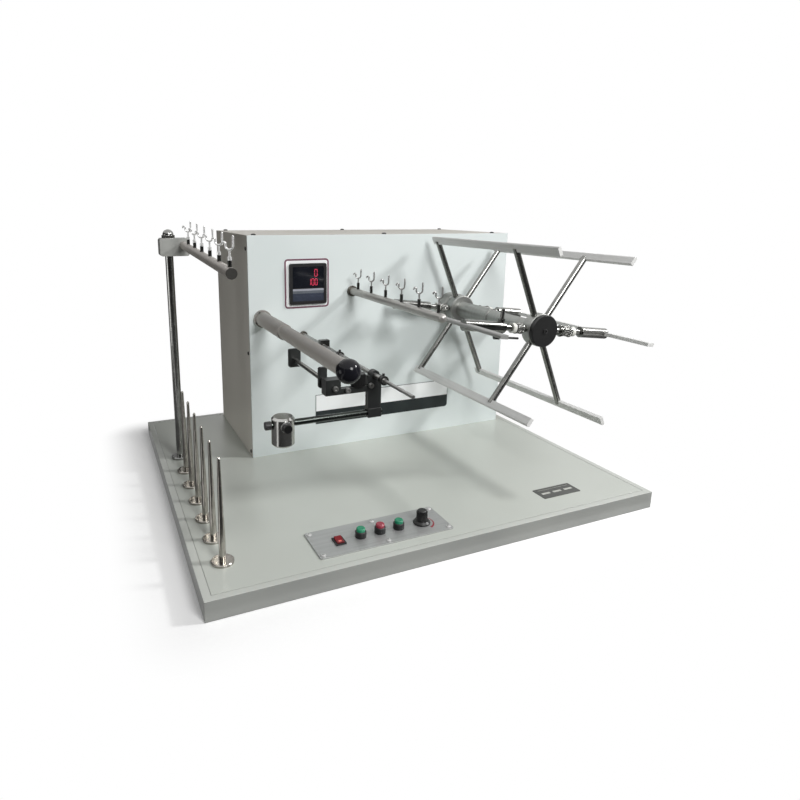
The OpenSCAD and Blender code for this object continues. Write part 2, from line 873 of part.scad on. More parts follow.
module button_housings() {
    tail_r = button_tail_d / 2;
    for (i = [0 : 2]) color("black")
        translate([ctl_x0 + button_at + i * button_step, ctl_y, ctl_top]) difference() {
            rotate_extrude() polygon([
                [0, -button_under], [tail_r, -button_under], [tail_r, 0], [button_d / 2, 0],
                [button_d / 2, button_h - chamfer], [button_d / 2 - chamfer, button_h], [0, button_h]]);
            translate([0, 0, -cap_well]) cylinder(d = cap_d + 2 * run_fit, h = cap_well + button_h + cut);
        }
}

module speed_pot() {
    pot_top = -ctl_t - sheet_t;
    color("dimgray") translate([knob_x, ctl_y, ctl_top]) difference() {
        union() {
            translate([0, 0, pot_top - pot_h]) cylinder(d = pot_d, h = pot_h + sheet_t);
            translate([0, 0, -ctl_t - eps]) cylinder(d = pot_neck_d, h = ctl_t + pot_neck_h);
        }
        translate([0, 0, pot_top - pot_h + pot_floor])
            cylinder(d = pot_shaft_d + 2 * run_fit, h = pot_h + sheet_t + ctl_t + pot_neck_h);
    }
}

module spindles() {
    for (i = [0 : yarn_count - 1]) color("silver")
        translate([spindle_x, spindle_y - i * spindle_step, base_h]) rotate_extrude() polygon([
            [0, 0], [flange_d / 2, 0], [flange_d / 2, flange_t - chamfer],
            [flange_d / 2 - chamfer, flange_t], [spindle_d / 2, flange_t],
            [spindle_d / 2, flange_t + spindle_foot], [spindle_tip / 2, spindle_h - tip_h],
            [spindle_tip / 2 - tip_round, spindle_h], [0, spindle_h]]);
}

module post() {
    foot_z = base_h + post_foot_t;
    top_z = block_z + block_h + nut_h / 2;
    color("dimgray") translate([post_x, post_y, 0]) rotate_extrude() polygon([
        [0, base_h], [post_foot_d / 2, base_h], [post_foot_d / 2, foot_z - chamfer],
        [post_foot_d / 2 - chamfer, foot_z], [post_d / 2, foot_z], [post_d / 2, block_z],
        [spigot_d / 2, block_z], [spigot_d / 2, top_z], [0, top_z]]);
}

module arm_block() {
    color("gray") difference() {
        translate([post_x - block_left + block_w / 2, post_y + block_d / 2, block_z + block_h / 2])
            rotate([90, 0, 0]) linear_extrude(height = block_d) round_rect(block_w, block_h, block_round);
        translate([post_x, post_y, block_z - cut])
            cylinder(d = spigot_d + 2 * seat_fit, h = block_h + 2 * cut);
        on_overhead() ycyl(over_d + 2 * seat_fit, -block_d, block_d);
    }
}

module dome_nut() {
    r = nut_d / 2 - dome_in;
    color("dimgray") translate([post_x, post_y, block_z + block_h]) difference() {
        union() {
            cylinder(d = nut_d, h = nut_h / 3, $fn = 6);
            intersection() {
                translate([0, 0, nut_h - r]) sphere(r = r);
                cylinder(r = r, h = nut_h);
            }
            cylinder(r = r, h = max(nut_h - r, eps));
        }
        translate([0, 0, -cut]) cylinder(d = spigot_d + 2 * seat_fit, h = nut_h / 2 + cut + seat_fit);
    }
}

module overhead_tube() {
    over_bore = over_d - 2 * over_wall;
    color("dimgray") on_overhead() union() {
        ycyl(over_d, -over_len - plug_t, -over_len);
        ycyl(over_bore - 2 * seat_fit, -over_len - eps, -over_len + plug_in);
    }
    color("silver") on_overhead() difference() {
        ycyl(over_d, -over_len, block_d / 2);
        ycyl(over_bore, -over_len - cut, block_d / 2 + cut);
        for (i = [0 : yarn_count - 1]) translate([0, -over_first - i * spindle_step, 0])
            cylinder(d = stub_d + 2 * seat_fit, h = over_d);
    }
}

module overhead_hooks() {
    color("white") on_overhead() for (i = [0 : yarn_count - 1])
        translate([0, -over_first - i * spindle_step, over_d / 2]) hook(over_wall);
}

module tension_tube() {
    color("silver") difference() {
        union() {
            ycyl(tube_d, front_y - tube_len, front_y, tube_x, tube_z);
            ycyl(socket_d, front_y - socket_len, front_y, tube_x, tube_z);
            ycyl(tube_flange_d, front_y - tube_flange_t, front_y, tube_x, tube_z);
        }
        ycyl(tube_d - 2 * tube_wall, front_y - tube_len - cut, front_y + cut, tube_x, tube_z);
    }
}

module ball_knob() {
    end = front_y - tube_len;
    ball_stud_d = tube_d - 2 * tube_wall - 2 * seat_fit;
    color("black") union() {
        difference() {
            translate([tube_x, end - ball_d / 2 + ball_sink, tube_z]) sphere(d = ball_d);
            ycyl(ball_d + 2 * cut, end, end + ball_d, tube_x, tube_z);
        }
        ycyl(ball_stud_d, end - cut, end + ball_stud, tube_x, tube_z);
    }
}

// Flanged bush through the panel
module bush(d, tail, x, z) {
    difference() {
        union() {
            ycyl(d + 2 * bush_rim, front_y - bush_t, front_y, x, z);
            ycyl(d + 2 * bush_wall, front_y - eps, panel_back + tail, x, z);
        }
        ycyl(d + 2 * run_fit, front_y - bush_t - cut, panel_back + tail + cut, x, z);
    }
}

module shaft_bush() {
    color("black") bush(rock_d, shaft_bush_tail, rock_x, rock_z);
}

module guide_bush() {
    color("dimgray") bush(guide_d, guide_bush_tail, guide_x, guide_z);
}

module traverse_unit() {
    y0 = panel_back + unit_gap;
    y1 = y0 + unit_len;
    boss_x = unit_w / 2 - unit_boss_in;
    boss_z = unit_h / 2 - unit_boss_in;
    color("slategray") difference() {
        union() {
            translate([guide_x, y1, guide_z]) rotate([90, 0, 0]) linear_extrude(height = unit_len)
                round_rect(unit_w, unit_h, unit_round);
            for (x = [-1, 1], z = [-1, 1])
                ycyl(unit_boss_d, panel_back, y0 + eps, guide_x + x * boss_x, guide_z + z * boss_z);
            ycyl(unit_drive_d, y1 - eps, y1 + unit_drive_len, guide_x, guide_z - unit_drive_drop);
        }
        ycyl(guide_d + 2 * run_fit, y0 - cut, y0 + guide_grip + 2 * traverse + unit_gap, guide_x, guide_z);
    }
}

module front_bearing() {
    color("gray") translate([reel_x, front_y, reel_z]) rotate([90, 0, 0]) rotate_extrude() polygon([
        [hub_bore / 2, -panel_t - bearing_tail], [bearing_spigot / 2, -panel_t - bearing_tail],
        [bearing_spigot / 2, 0], [bearing_d / 2, 0], [bearing_d / 2, bearing_t - bearing_chamfer],
        [bearing_d / 2 - bearing_chamfer, bearing_t], [hub_bore / 2, bearing_t]]);
}

module rear_bearing_stand() {
    boss_front = stand_front - stand_boss_front;
    boss_back = stand_back + stand_boss_back;
    color("slategray") difference() {
        union() {
            box([reel_x - stand_w / 2, stand_front, base_h], [reel_x + stand_w / 2, stand_back, reel_z]);
            ycyl(stand_w, stand_front, stand_back, reel_x, reel_z);
            ycyl(stand_boss_d, boss_front, boss_back, reel_x, reel_z);
            box([reel_x - stand_w / 2, stand_back - eps, base_h],
                [reel_x + stand_w / 2, stand_back + stand_foot, base_h + stand_t]);
        }
        ycyl(hub_bore, boss_front - cut, boss_back + cut, reel_x, reel_z);
        ycyl(sensor_d + 2 * seat_fit, stand_front - cut, stand_back + cut, reel_x + sensor_r, reel_z);
        box([reel_x - stand_window_w / 2, stand_front - cut, base_h + stand_window_low],
            [reel_x + stand_window_w / 2, stand_back + cut, reel_z - stand_window_top]);
    }
}

module drive_motor() {
    face = motor_face + bracket_t;
    half = motor_d / 2 + bracket_edge;
    color("dimgray") difference() {
        union() {
            translate([motor_x, face, motor_z]) rotate([-90, 0, 0]) rotate_extrude() polygon([
                [0, 0], [motor_d / 2, 0], [motor_d / 2, motor_len - motor_round],
                [motor_d / 2 - motor_round, motor_len], [0, motor_len]]);
            box([motor_x - half, motor_face, base_h], [motor_x + half, face + eps, motor_z]);
            ycyl(2 * half, motor_face, face + eps, motor_x, motor_z);
            box([motor_x - half, face, base_h], [motor_x + half, face + bracket_foot, base_h + bracket_t]);
        }
        ycyl(motor_shaft_d + 2 * run_fit, motor_face - cut, face + motor_shaft_in + motor_well,
            motor_x, motor_z);
    }
}

module drive_belt() {
    far = norm([motor_dx, reel_z - motor_z]);
    turn = atan2(motor_dx, reel_z - motor_z);
    reel_r_in = reel_pulley_r + belt_fit;
    motor_r_in = motor_pulley_r + belt_fit;
    color("black") translate([motor_x, belt_mid + belt_w / 2, motor_z])
        rotate([0, -turn, 0]) rotate([90, 0, 0]) linear_extrude(height = belt_w) difference() {
            belt_loop(far, reel_r_in + belt_t, motor_r_in + belt_t);
            belt_loop(far, reel_r_in, motor_r_in);
        }
}

module control_board() {
    y1 = cab_y1 - rear_t;
    back = y1 - board_off;
    face = back - board_t;
    hole_x = board_w / 2 - standoff_in;
    hole_z = board_h / 2 - standoff_in;
    color("darkgreen") translate([cab_x + board_dx, 0, base_h + board_z]) union() {
        box([-board_w / 2, face, -board_h / 2], [board_w / 2, back, board_h / 2]);
        for (x = [-1, 1], z = [-1, 1])
            ycyl(standoff_d, back - eps, y1, x * hole_x, z * hole_z);
        for (c = [[transformer, transformer_at], [relay, relay_at]])
            translate([c[1][0], face - c[0][1], c[1][1]]) cube(c[0] + [0, eps, 0]);
        for (i = [0 : 3]) ycyl(can_d, face - can_h, face + eps, can_at[0] + i * can_step, can_at[1]);
    }
}

module power_supply() {
    color("silver") translate([supply_at[0], supply_at[1], base_h]) difference() {
        cube(supply);
        for (i = [0 : supply_vents - 1])
            translate([supply_edge + i * supply_step, supply_edge, supply[2] - supply_vent_t])
            cube([supply_vent_w, supply[1] - 2 * supply_edge, supply_vent_t + cut]);
    }
}

module count_sensor() {
    color("orange") translate([reel_x + sensor_r, 0, reel_z]) union() {
        ycyl(sensor_d, count_y + count_t / 2 + sensor_gap, stand_back + sensor_tail);
        ycyl(sensor_nut_d, stand_front - sensor_nut_t, stand_front, $fn = 6);
        ycyl(sensor_nut_d, stand_back, stand_back + sensor_nut_t, $fn = 6);
    }
}

module power_inlet() {
    w = inlet_w - 2 * seat_fit;
    h = inlet_h - 2 * seat_fit;
    color("black") translate([inlet_x, cab_y1, inlet_z]) difference() {
        union() {
            box([-w / 2, -rear_t - inlet_body, -h / 2], [w / 2, eps, h / 2]);
            box([-w / 2 - inlet_ear, 0, -h / 2 - inlet_edge],
                [w / 2 + inlet_ear, inlet_t, h / 2 + inlet_edge]);
        }
        box([-w / 2 + inlet_wall, -inlet_well, -h / 2 + inlet_wall],
            [w / 2 - inlet_wall, inlet_t + cut, h / 2 - inlet_wall]);
    }
}

module reel_shaft() {
    color("silver") ycyl(shaft_d, front_hub_y - hub_len / 2, shaft_tail, reel_x, reel_z);
}

module reel_pulley() {
    hole_d = reel_pulley_r / 3;
    hole_r = (hub_bore / 2 + reel_pulley_r) / 2;
    color("gray") difference() {
        translate([reel_x, belt_mid, reel_z]) pulley(reel_pulley_r, hub_bore);
        for (k = [0 : 5]) on_reel(k)
            ycyl(hole_d, belt_mid - pulley_half - cut, belt_mid + pulley_half + cut, hole_r);
    }
}

module count_disc() {
    y0 = count_y - count_t / 2;
    y1 = count_y + count_t / 2;
    color("silver") difference() {
        union() {
            ycyl(count_d, y0, y1, reel_x, reel_z);
            ycyl(shaft_d + 2 * count_hub_wall, y0 - count_hub, y1, reel_x, reel_z);
        }
        ycyl(hub_bore, y0 - count_hub - cut, y1 + cut, reel_x, reel_z);
        for (k = [0 : 11]) translate([reel_x, 0, reel_z]) rotate([0, 30 * k, 0])
            box([count_d / 2 - slot_depth, y0 - cut, -slot_w / 2], [count_d / 2 + cut, y1 + cut, slot_w / 2]);
    }
}

module reel_barrel() {
    color("darkgray") difference() {
        union() {
            ycyl(barrel_d, barrel_rear - barrel_rear_len, barrel_rear, reel_x, reel_z);
            ycyl(barrel_front_d, barrel_front, barrel_rear, reel_x, reel_z);
        }
        ycyl(hub_bore, front_hub_y, rear_hub_y, reel_x, reel_z);
    }
}

module rear_hub() {
    color("darkgray") hub(rear_hub_y);
}

module front_hub() {
    color("darkgray") hub(front_hub_y);
}

module end_disc() {
    y1 = front_hub_y - hub_len / 2;
    color("black") translate([reel_x, y1, reel_z]) rotate([90, 0, 0]) rotate_extrude() polygon([
        [0, 0], [disc_d / 2, 0], [disc_d / 2, disc_t - disc_chamfer],
        [disc_d / 2 - disc_chamfer, disc_t], [0, disc_t]]);
}

// Outer end of the collar on a telescope rod whose sleeve begins at the given radius
function collar_end(r0) = r0 - release_travel - buffer_gap - buffer_len;

module reel_arms() {
    for (y = [front_hub_y, rear_hub_y]) {
        for (k = [1, 2, 4, 5]) color("silver") on_reel(k) difference() {
            xcyl(arm_d, arm_r0, arm_tip, y);
            bar_slot(y);
        }
        for (k = [0, 3]) color("silver") on_reel(k) union() {
            end = collar_end(k == 0 ? release_r0 : latch_r0);
            xcyl(tele_d, arm_r0, tele_end, y);
            xcyl(collar_d, end - (k == 0 ? release_collar_len : latch_collar_len), end, y);
        }
    }
}

module reel_bars() {
    for (k = [1, 2, 4, 5]) color("lightgrey") on_reel(k) bar();
}

module arm_buffers() {
    for (y = [front_hub_y, rear_hub_y], k = [0, 3]) color("white") on_reel(k) difference() {
        r0 = collar_end(k == 0 ? release_r0 : latch_r0);
        xcyl(collar_d, r0, r0 + buffer_len, y);
        xcyl(tele_d + 2 * seat_fit, r0 - 1, r0 + buffer_len + 1, y);
    }
}

// Sleeve that slides on a telescope rod and grips a bar in its slotted end
module sleeve(r0, y) {
    difference() {
        xcyl(sleeve_d, r0, arm_tip + sleeve_lap, y);
        xcyl(tele_d + 2 * run_fit, r0 - cut, tele_end + release_travel + 2 * buffer_gap, y);
        bar_slot(y);
    }
}

module release_sleeves() {
    for (y = [front_hub_y, rear_hub_y]) color("silver") on_reel(0) sleeve(release_r0, y);
}

module release_bar() {
    color("lightgrey") on_reel(0) bar();
}

module latch_sleeves() {
    web_end = latch_r0 + stop_web;
    color("silver") on_reel(3) difference() {
        union() {
            for (y = [front_hub_y, rear_hub_y]) sleeve(latch_r0, y);
            translate([lock_r, front_hub_y, -sleeve_d / 2 - lock_boss_h])
                cylinder(d = lock_d + 2 * lock_boss_wall, h = lock_boss_h + (sleeve_d - tele_d) / 4);
            box([latch_r0, front_hub_y - stop_d / 2, (sleeve_d + tele_d) / 4 + run_fit],
                [web_end, front_hub_y + stop_d / 2, stop_drop]);
            xcyl(stop_d, stop_r0, web_end, front_hub_y, stop_drop);
            xcyl(stop_knob_d, web_end, web_end + stop_knob_len, front_hub_y, stop_drop);
        }
        translate([lock_r, front_hub_y, -sleeve_d])
            cylinder(d = lock_d + 2 * run_fit, h = sleeve_d - tele_d / 4);
    }
}

module latch_bar() {
    color("lightgrey") on_reel(3) bar();
}

module lock_screw() {
    grip = sleeve_d / 2 + lock_boss_h + chamfer;
    tip = tele_d / 2 + lock_gap;
    color("dimgray") on_reel(3) translate([lock_r, front_hub_y, 0]) rotate([180, 0, 0]) rotate_extrude()
        polygon([[0, tip], [lock_d / 2, tip], [lock_d / 2, grip], [lock_grip_d / 2, grip],
            [lock_grip_d / 2, lock_h - chamfer], [lock_grip_d / 2 - chamfer, lock_h], [0, lock_h]]);
}

module motor_pulley() {
    color("gray") union() {
        translate([motor_x, belt_mid, motor_z]) pulley(motor_pulley_r, eps);
        ycyl(motor_shaft_d, belt_mid - pulley_half, motor_face + bracket_t + motor_shaft_in,
            motor_x, motor_z);
    }
}

module guide_rod() {
    rear = panel_back + unit_gap + guide_grip + traverse;
    color("silver") difference() {
        union() {
            ycyl(guide_d, guide_end + guide_d / 2, rear, guide_x, guide_z);
            translate([guide_x, guide_end + guide_d / 2, guide_z]) sphere(d = guide_d);
        }
        for (i = [0 : yarn_count - 1])
            translate([guide_x, front_y - guide_first - i * yarn_step, guide_z + guide_d / 2 - hook_sink])
            cylinder(d = stub_d + 2 * seat_fit, h = hook_sink + cut);
    }
}

module guide_hooks() {
    color("white") for (i = [0 : yarn_count - 1])
        translate([guide_x, front_y - guide_first - i * yarn_step, guide_z + guide_d / 2]) hook(hook_sink);
}

module rocker_shaft() {
    bush_end = panel_back + shaft_bush_tail;
    collar_d2 = rock_d + 2 * collar_wall;
    color("gray") union() {
        ycyl(rock_d, plate_y - collar_front, bush_end + collar_len, rock_x, rock_z);
        ycyl(rock_tip_d, rock_front_y, plate_y - collar_front, rock_x, rock_z);
        ycyl(collar_d2, bush_end + stud_gap, bush_end + collar_len, rock_x, rock_z);
        translate([rock_x, front_y - finger_at, rock_z]) box(finger_low, finger_high);
        for (y = [front_y - collar_rear, plate_y - collar_front]) {
            ycyl(collar_d2, y - collar_len / 2, y + collar_len / 2, rock_x, rock_z);
            translate([rock_x, y, rock_z]) cylinder(d = collar_screw_d, h = rock_d / 2 + 2 * collar_wall);
        }
    }
}

module rocker_plates() {
    clamp = beam_d / 2 + clamp_wall;
    color("black") difference() {
        union() {
            box([rock_x - leg_w / 2, plate_y, beam_z], [rock_x + leg_w / 2, plate_back, rock_z]);
            box([rock_x - leg_w / 2, beam_y - clamp, beam_z - clamp],
                [rock_x + leg_w / 2, beam_y + clamp, beam_z + clamp]);
            ycyl(rock_d + 2 * boss_wall, plate_y, plate_back, rock_x, rock_z);
            box([end_x, plate_y, arm_top - arm_h], [rock_x, plate_back, arm_top]);
            box([end_x - end_w / 2, plate_y, end_z - end_h / 2],
                [end_x + end_w / 2, plate_back + end_deep, end_z + end_h / 2]);
        }
        ycyl(rock_d + 2 * seat_fit, plate_y - cut, plate_back + cut, rock_x, rock_z);
        ycyl(dancer_d + 2 * seat_fit, plate_back - dancer_seat, plate_back + 2 * end_deep,
            dancer_x, dancer_z);
        xcyl(beam_d + 2 * seat_fit, rock_x - leg_w, rock_x + leg_w, beam_y, beam_z);
        translate([trim_x, beam_y, arm_top - arm_h - cut])
            cylinder(d = stud_d + 2 * run_fit, h = arm_h + 2 * cut);
    }
    for (c = [[cheek_rear, cheek_w], [cheek_front, cheek_slim]]) color("black") difference() {
        y = front_y - c[0];
        translate([dancer_x, y + cheek_t / 2, dancer_z + cheek_rise]) rotate([90, 0, 0])
            linear_extrude(height = cheek_t) round_rect(c[1], cheek_h, cheek_round);
        ycyl(dancer_d + 2 * seat_fit, y - cheek_t, y + cheek_t, dancer_x, dancer_z);
    }
}

module dancer_rod() {
    y1 = front_y - cheek_rear + cheek_t / 2 + dancer_tail;
    color("silver") ycyl(dancer_d, plate_back - dancer_seat + seat_fit, y1, dancer_x, dancer_z);
}

module steelyard_beam() {
    x0 = beam_x0 - beam_knob_len + beam_cap;
    color("silver") xcyl(beam_d, x0, rock_x + leg_w / 2 + beam_tail, beam_y, beam_z);
}

module beam_knob() {
    x0 = beam_x0 - beam_knob_len;
    color("black") difference() {
        xcyl(beam_knob_d, x0, beam_x0, beam_y, beam_z);
        xcyl(beam_d + 2 * seat_fit, x0 + beam_cap - seat_fit, beam_x0 + cut, beam_y, beam_z);
    }
}

module sliding_weight() {
    r = weight_d / 2;
    c = weight_chamfer;
    color("silver") difference() {
        translate([weight_x, beam_y, weight_z - weight_h / 2]) rotate_extrude() polygon([
            [0, 0], [r - c, 0], [r, c], [r, weight_h - c], [r - c, weight_h], [0, weight_h]]);
        xcyl(beam_d + 2 * run_fit, weight_x - weight_d, weight_x + weight_d, beam_y, beam_z);
        ycyl(stud_d + 2 * run_fit, beam_y - weight_d, beam_y - beam_d / 2 + cut, weight_x, beam_z);
    }
}

module thumb_screw() {
    y1 = beam_y - weight_d / 2 - thumb_gap;
    color("black") union() {
        ycyl(thumb_d, y1 - thumb_len, y1, weight_x, beam_z);
        ycyl(stud_d, y1 - eps, beam_y - beam_d / 2 - stud_gap, weight_x, beam_z);
    }
}

module trim_knob() {
    color("black") translate([trim_x, beam_y, arm_top]) union() {
        translate([0, 0, stud_gap]) cylinder(d = trim_d, h = trim_h);
        translate([0, 0, -arm_h + stud_gap]) cylinder(d = stud_d, h = arm_h + eps);
    }
}

module rocker_switch() {
    w = well_w - 2 * rocker_gap;
    d = well_d - 2 * rocker_gap;
    pivot_end = well_w / 2 + pivot_grip;
    color("red") translate([switch_x, ctl_y, ctl_top]) rotate([rocker_tilt, 0, 0]) union() {
        translate([-w / 2, 0, 0]) rotate([90, 0, 90]) linear_extrude(height = w) polygon([
            [rocker_taper - d / 2, -rocker_low], [d / 2 - rocker_taper, -rocker_low],
            [d / 2, rocker_high], [0, rocker_low], [-d / 2, rocker_high]]);
        xcyl(pivot_d, -pivot_end, pivot_end);
    }
}

module button_cap(i) {
    low = button_travel + cap_play - cap_well;
    high = button_h + cap_h;
    translate([ctl_x0 + button_at + i * button_step, ctl_y, ctl_top]) rotate_extrude() polygon([
        [0, low], [cap_d / 2, low], [cap_d / 2, high - chamfer], [cap_d / 2 - chamfer, high], [0, high]]);
}

module start_button() {
    color("green") button_cap(0);
}

module stop_button() {
    color("red") button_cap(1);
}

module reset_button() {
    color("green") button_cap(2);
}

module speed_knob() {
    skirt_r = knob_d / 2;
    color("black") translate([knob_x, ctl_y, ctl_top]) difference() {
        union() {
            translate([0, 0, knob_gap]) difference() {
                rotate_extrude() polygon([
                    [0, 0], [skirt_r, 0], [skirt_r, skirt_h], [skirt_r - skirt_in, skirt_top],
                    [grip_d / 2, skirt_top], [grip_top_d / 2, knob_h - chamfer],
                    [grip_top_d / 2 - chamfer, knob_h], [0, knob_h]]);
                translate([0, 0, -cut]) cylinder(d = pot_neck_d + 2 * cut, h = knob_well_h + cut);
            }
            translate([0, 0, -ctl_t - pot_shaft_in])
                cylinder(d = pot_shaft_d, h = ctl_t + pot_shaft_in + knob_well_h + cut);
        }
        translate([-pointer_w / 2, grip_d / 4, knob_h + knob_gap - pointer_t])
            cube([pointer_w, grip_d, pointer_t + cut]);
    }
}

base_tray();
top_sheet();
cabinet_shell();
front_panel();
rear_panel();
counter_case();
control_plate();
switch_frame();
button_housings();
speed_pot();
spindles();
post();
arm_block();
dome_nut();
overhead_tube();
overhead_hooks();
tension_tube();
ball_knob();
shaft_bush();
guide_bush();
traverse_unit();
front_bearing();
rear_bearing_stand();
drive_motor();
drive_belt();
control_board();
power_supply();
count_sensor();
power_inlet();
reel_shaft();
reel_pulley();
count_disc();
reel_barrel();
rear_hub();
front_hub();
end_disc();
reel_arms();
reel_bars();
arm_buffers();
release_sleeves();
release_bar();
latch_sleeves();
latch_bar();
lock_screw();
motor_pulley();
guide_rod();
guide_hooks();
rocker_shaft();
rocker_plates();
dancer_rod();
steelyard_beam();
beam_knob();
sliding_weight();
thumb_screw();
trim_knob();
rocker_switch();
start_button();
stop_button();
reset_button();
speed_knob();
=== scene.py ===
import json
import math

import bmesh
import bpy
from mathutils import Matrix, Vector


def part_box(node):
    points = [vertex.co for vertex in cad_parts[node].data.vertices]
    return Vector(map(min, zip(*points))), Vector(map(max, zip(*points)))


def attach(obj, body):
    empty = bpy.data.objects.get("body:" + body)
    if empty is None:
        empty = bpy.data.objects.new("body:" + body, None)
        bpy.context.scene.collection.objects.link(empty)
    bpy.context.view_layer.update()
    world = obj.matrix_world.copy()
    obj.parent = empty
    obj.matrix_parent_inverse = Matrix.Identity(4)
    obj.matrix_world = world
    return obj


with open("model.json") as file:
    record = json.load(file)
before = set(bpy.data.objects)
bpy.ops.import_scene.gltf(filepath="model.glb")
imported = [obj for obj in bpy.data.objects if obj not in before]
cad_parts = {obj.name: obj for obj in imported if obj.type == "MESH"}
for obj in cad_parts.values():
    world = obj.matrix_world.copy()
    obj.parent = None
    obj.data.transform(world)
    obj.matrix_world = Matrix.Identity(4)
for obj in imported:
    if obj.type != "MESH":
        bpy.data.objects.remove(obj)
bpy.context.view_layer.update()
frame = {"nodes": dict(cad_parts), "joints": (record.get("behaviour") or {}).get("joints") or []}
nodes = frame["nodes"]
joints = {j["name"]: j for j in frame["joints"]}
mm = 0.001
quarter = math.pi / 2
print("frame loaded,", len(nodes), "nodes")


def tone(r, g, b):
    # screen values 0..255 to a linear colour
    linear = [c / 255 / 12.92 if c <= 10 else ((c / 255 + 0.055) / 1.055) ** 2.4 for c in (r, g, b)]
    return (*linear, 1.0)


def inMm(**lengths):
    # lengths and tuples of lengths, given in millimetres and kept in metres
    return {k: tuple(c * mm for c in v) if isinstance(v, tuple) else v * mm for k, v in lengths.items()}


def linked(name, data):
    made = bpy.data.objects.new(name, data)
    bpy.context.scene.collection.objects.link(made)
    return made


def pivotOf(joint):
    return Vector(joints[joint]["pos_m"])


def middleOf(node):
    low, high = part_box(node)
    return (low + high) / 2


# camera, solved from the corners of base and cabinet
photoView = {
    "place": (-0.50207, -1.04592, 0.52052),
    "yaw": 23.70, "pitch": 12.70, "roll": 0.49,
    # pixels: focal length, where the optical axis meets the picture, the picture's side
    "focal": 595.07, "axisX": 348.56, "axisY": 344.80, "side": 800,
    "sensor": 36.0, "far": 50,
}


def addCamera(v):
    yaw, pitch, roll = (math.radians(v[k]) for k in ("yaw", "pitch", "roll"))
    ahead = Vector((math.sin(yaw) * math.cos(pitch), math.cos(yaw) * math.cos(pitch), -math.sin(pitch)))
    level = Vector((math.cos(yaw), -math.sin(yaw), 0))
    above = level.cross(ahead)
    right = math.cos(roll) * level + math.sin(roll) * above
    up = math.cos(roll) * above - math.sin(roll) * level
    data = bpy.data.cameras.new("photoCamera")
    data.sensor_width = v["sensor"]
    data.lens = v["sensor"] * v["focal"] / v["side"]
    data.shift_x = (v["side"] / 2 - v["axisX"]) / v["side"]
    data.shift_y = (v["axisY"] - v["side"] / 2) / v["side"]
    data.clip_end = v["far"]
    camera = linked("photoCamera", data)
    turn = Matrix((right, up, -ahead)).transposed().to_4x4()
    camera.matrix_world = Matrix.Translation(v["place"]) @ turn
    bpy.context.scene.camera = camera


addCamera(photoView)
bpy.context.scene.view_settings.view_transform = "Standard"
print("camera set")


# node helpers
def feed(socket, value):
    # a socket or a list of sockets is linked, any other value is set
    if isinstance(value, (bpy.types.NodeSocket, list)):
        for source in value if isinstance(value, list) else [value]:
            socket.id_data.links.new(source, socket)
    else:
        socket.default_value = value


def add(tree, kind, props=None, **feeds):
    # a short kind means a shader node; in a socket's name an underscore stands for a blank
    made = tree.nodes.new(kind if "Node" in kind else "ShaderNode" + kind)
    for key, value in (props or {}).items():
        setattr(made, key, value)
    for key, value in feeds.items():
        feed(made.inputs[key.replace("_", " ")], value)
    return made


def feedAll(made, values):
    for socket, value in zip(made.inputs, values):
        feed(socket, value)
    return made.outputs


def treeOf(values):
    # the node tree of the sockets among the values
    return next(v.id_data for v in values if isinstance(v, bpy.types.NodeSocket))


def calc(operation, *values, clamp=False):
    made = add(treeOf(values), "Math", {"operation": operation, "use_clamp": clamp})
    return feedAll(made, values)[0]


def times(first, *others):
    for other in others:
        first = calc("MULTIPLY", first, other)
    return first


def vectorCalc(operation, *values):
    return feedAll(add(treeOf(values), "VectorMath", {"operation": operation}), values)


def blendColor(factor, low, high):
    # 6, 7 and the output 2 are the mix node's colour sockets
    made = add(factor.id_data, "Mix", {"data_type": "RGBA"})
    for place, value in ((0, factor), (6, low), (7, high)):
        feed(made.inputs[place], value)
    return made.outputs[2]


def span(value, low, high):
    # 0 at low, 1 at high, smooth between them
    made = add(value.id_data, "MapRange", {"interpolation_type": "SMOOTHSTEP"}, Value=value)
    made.inputs["From Min"].default_value = low
    made.inputs["From Max"].default_value = high
    return made.outputs[0]


def along(vector, axis, origin):
    # how far a point lies from the origin along an axis, metres
    offset = vectorCalc("SUBTRACT", vector, origin)["Vector"]
    return vectorCalc("DOT_PRODUCT", offset, axis)["Value"]


def noise(vector, scale, detail):
    return add(vector.id_data, "TexNoise", Vector=vector, Scale=scale, Detail=detail).outputs[0]


def parts(vector):
    return add(vector.id_data, "SeparateXYZ", Vector=vector).outputs


def normalParts(tree):
    return parts(add(tree, "NewGeometry").outputs["Normal"])


def newGroup(name, kind, ins, outs):
    tree = bpy.data.node_groups.new(name, kind + "NodeTree")
    for way, sockets in (("INPUT", ins), ("OUTPUT", outs)):
        for label, socketKind in sockets.items():
            tree.interface.new_socket(label, in_out=way, socket_type="NodeSocket" + socketKind)
    return tree, tree.nodes.new("NodeGroupInput").outputs, tree.nodes.new("NodeGroupOutput").inputs


# shader groups
shading = {"cloud": (0.3, 0.7), "dustUp": (0.5, 0.95), "dustCloud": (0.35, 0.75), "bandScale": 0.1,
           "broadDetail": 3.0, "fineDetail": 2.0, "richDetail": 4.0, "bevelSamples": 6}


def grainGroup():
    # cloudy variation and a fine orange peel
    tree, ins, outs = newGroup("surfaceGrain", "Shader", {
        "Vector": "Vector", "Broad Scale": "Float", "Fine Scale": "Float",
    }, {"Broad": "Float", "Fine": "Float"})
    broad = noise(ins["Vector"], ins["Broad Scale"], shading["broadDetail"])
    feed(outs["Broad"], span(broad, *shading["cloud"]))
    feed(outs["Fine"], noise(ins["Vector"], ins["Fine Scale"], shading["fineDetail"]))
    return tree


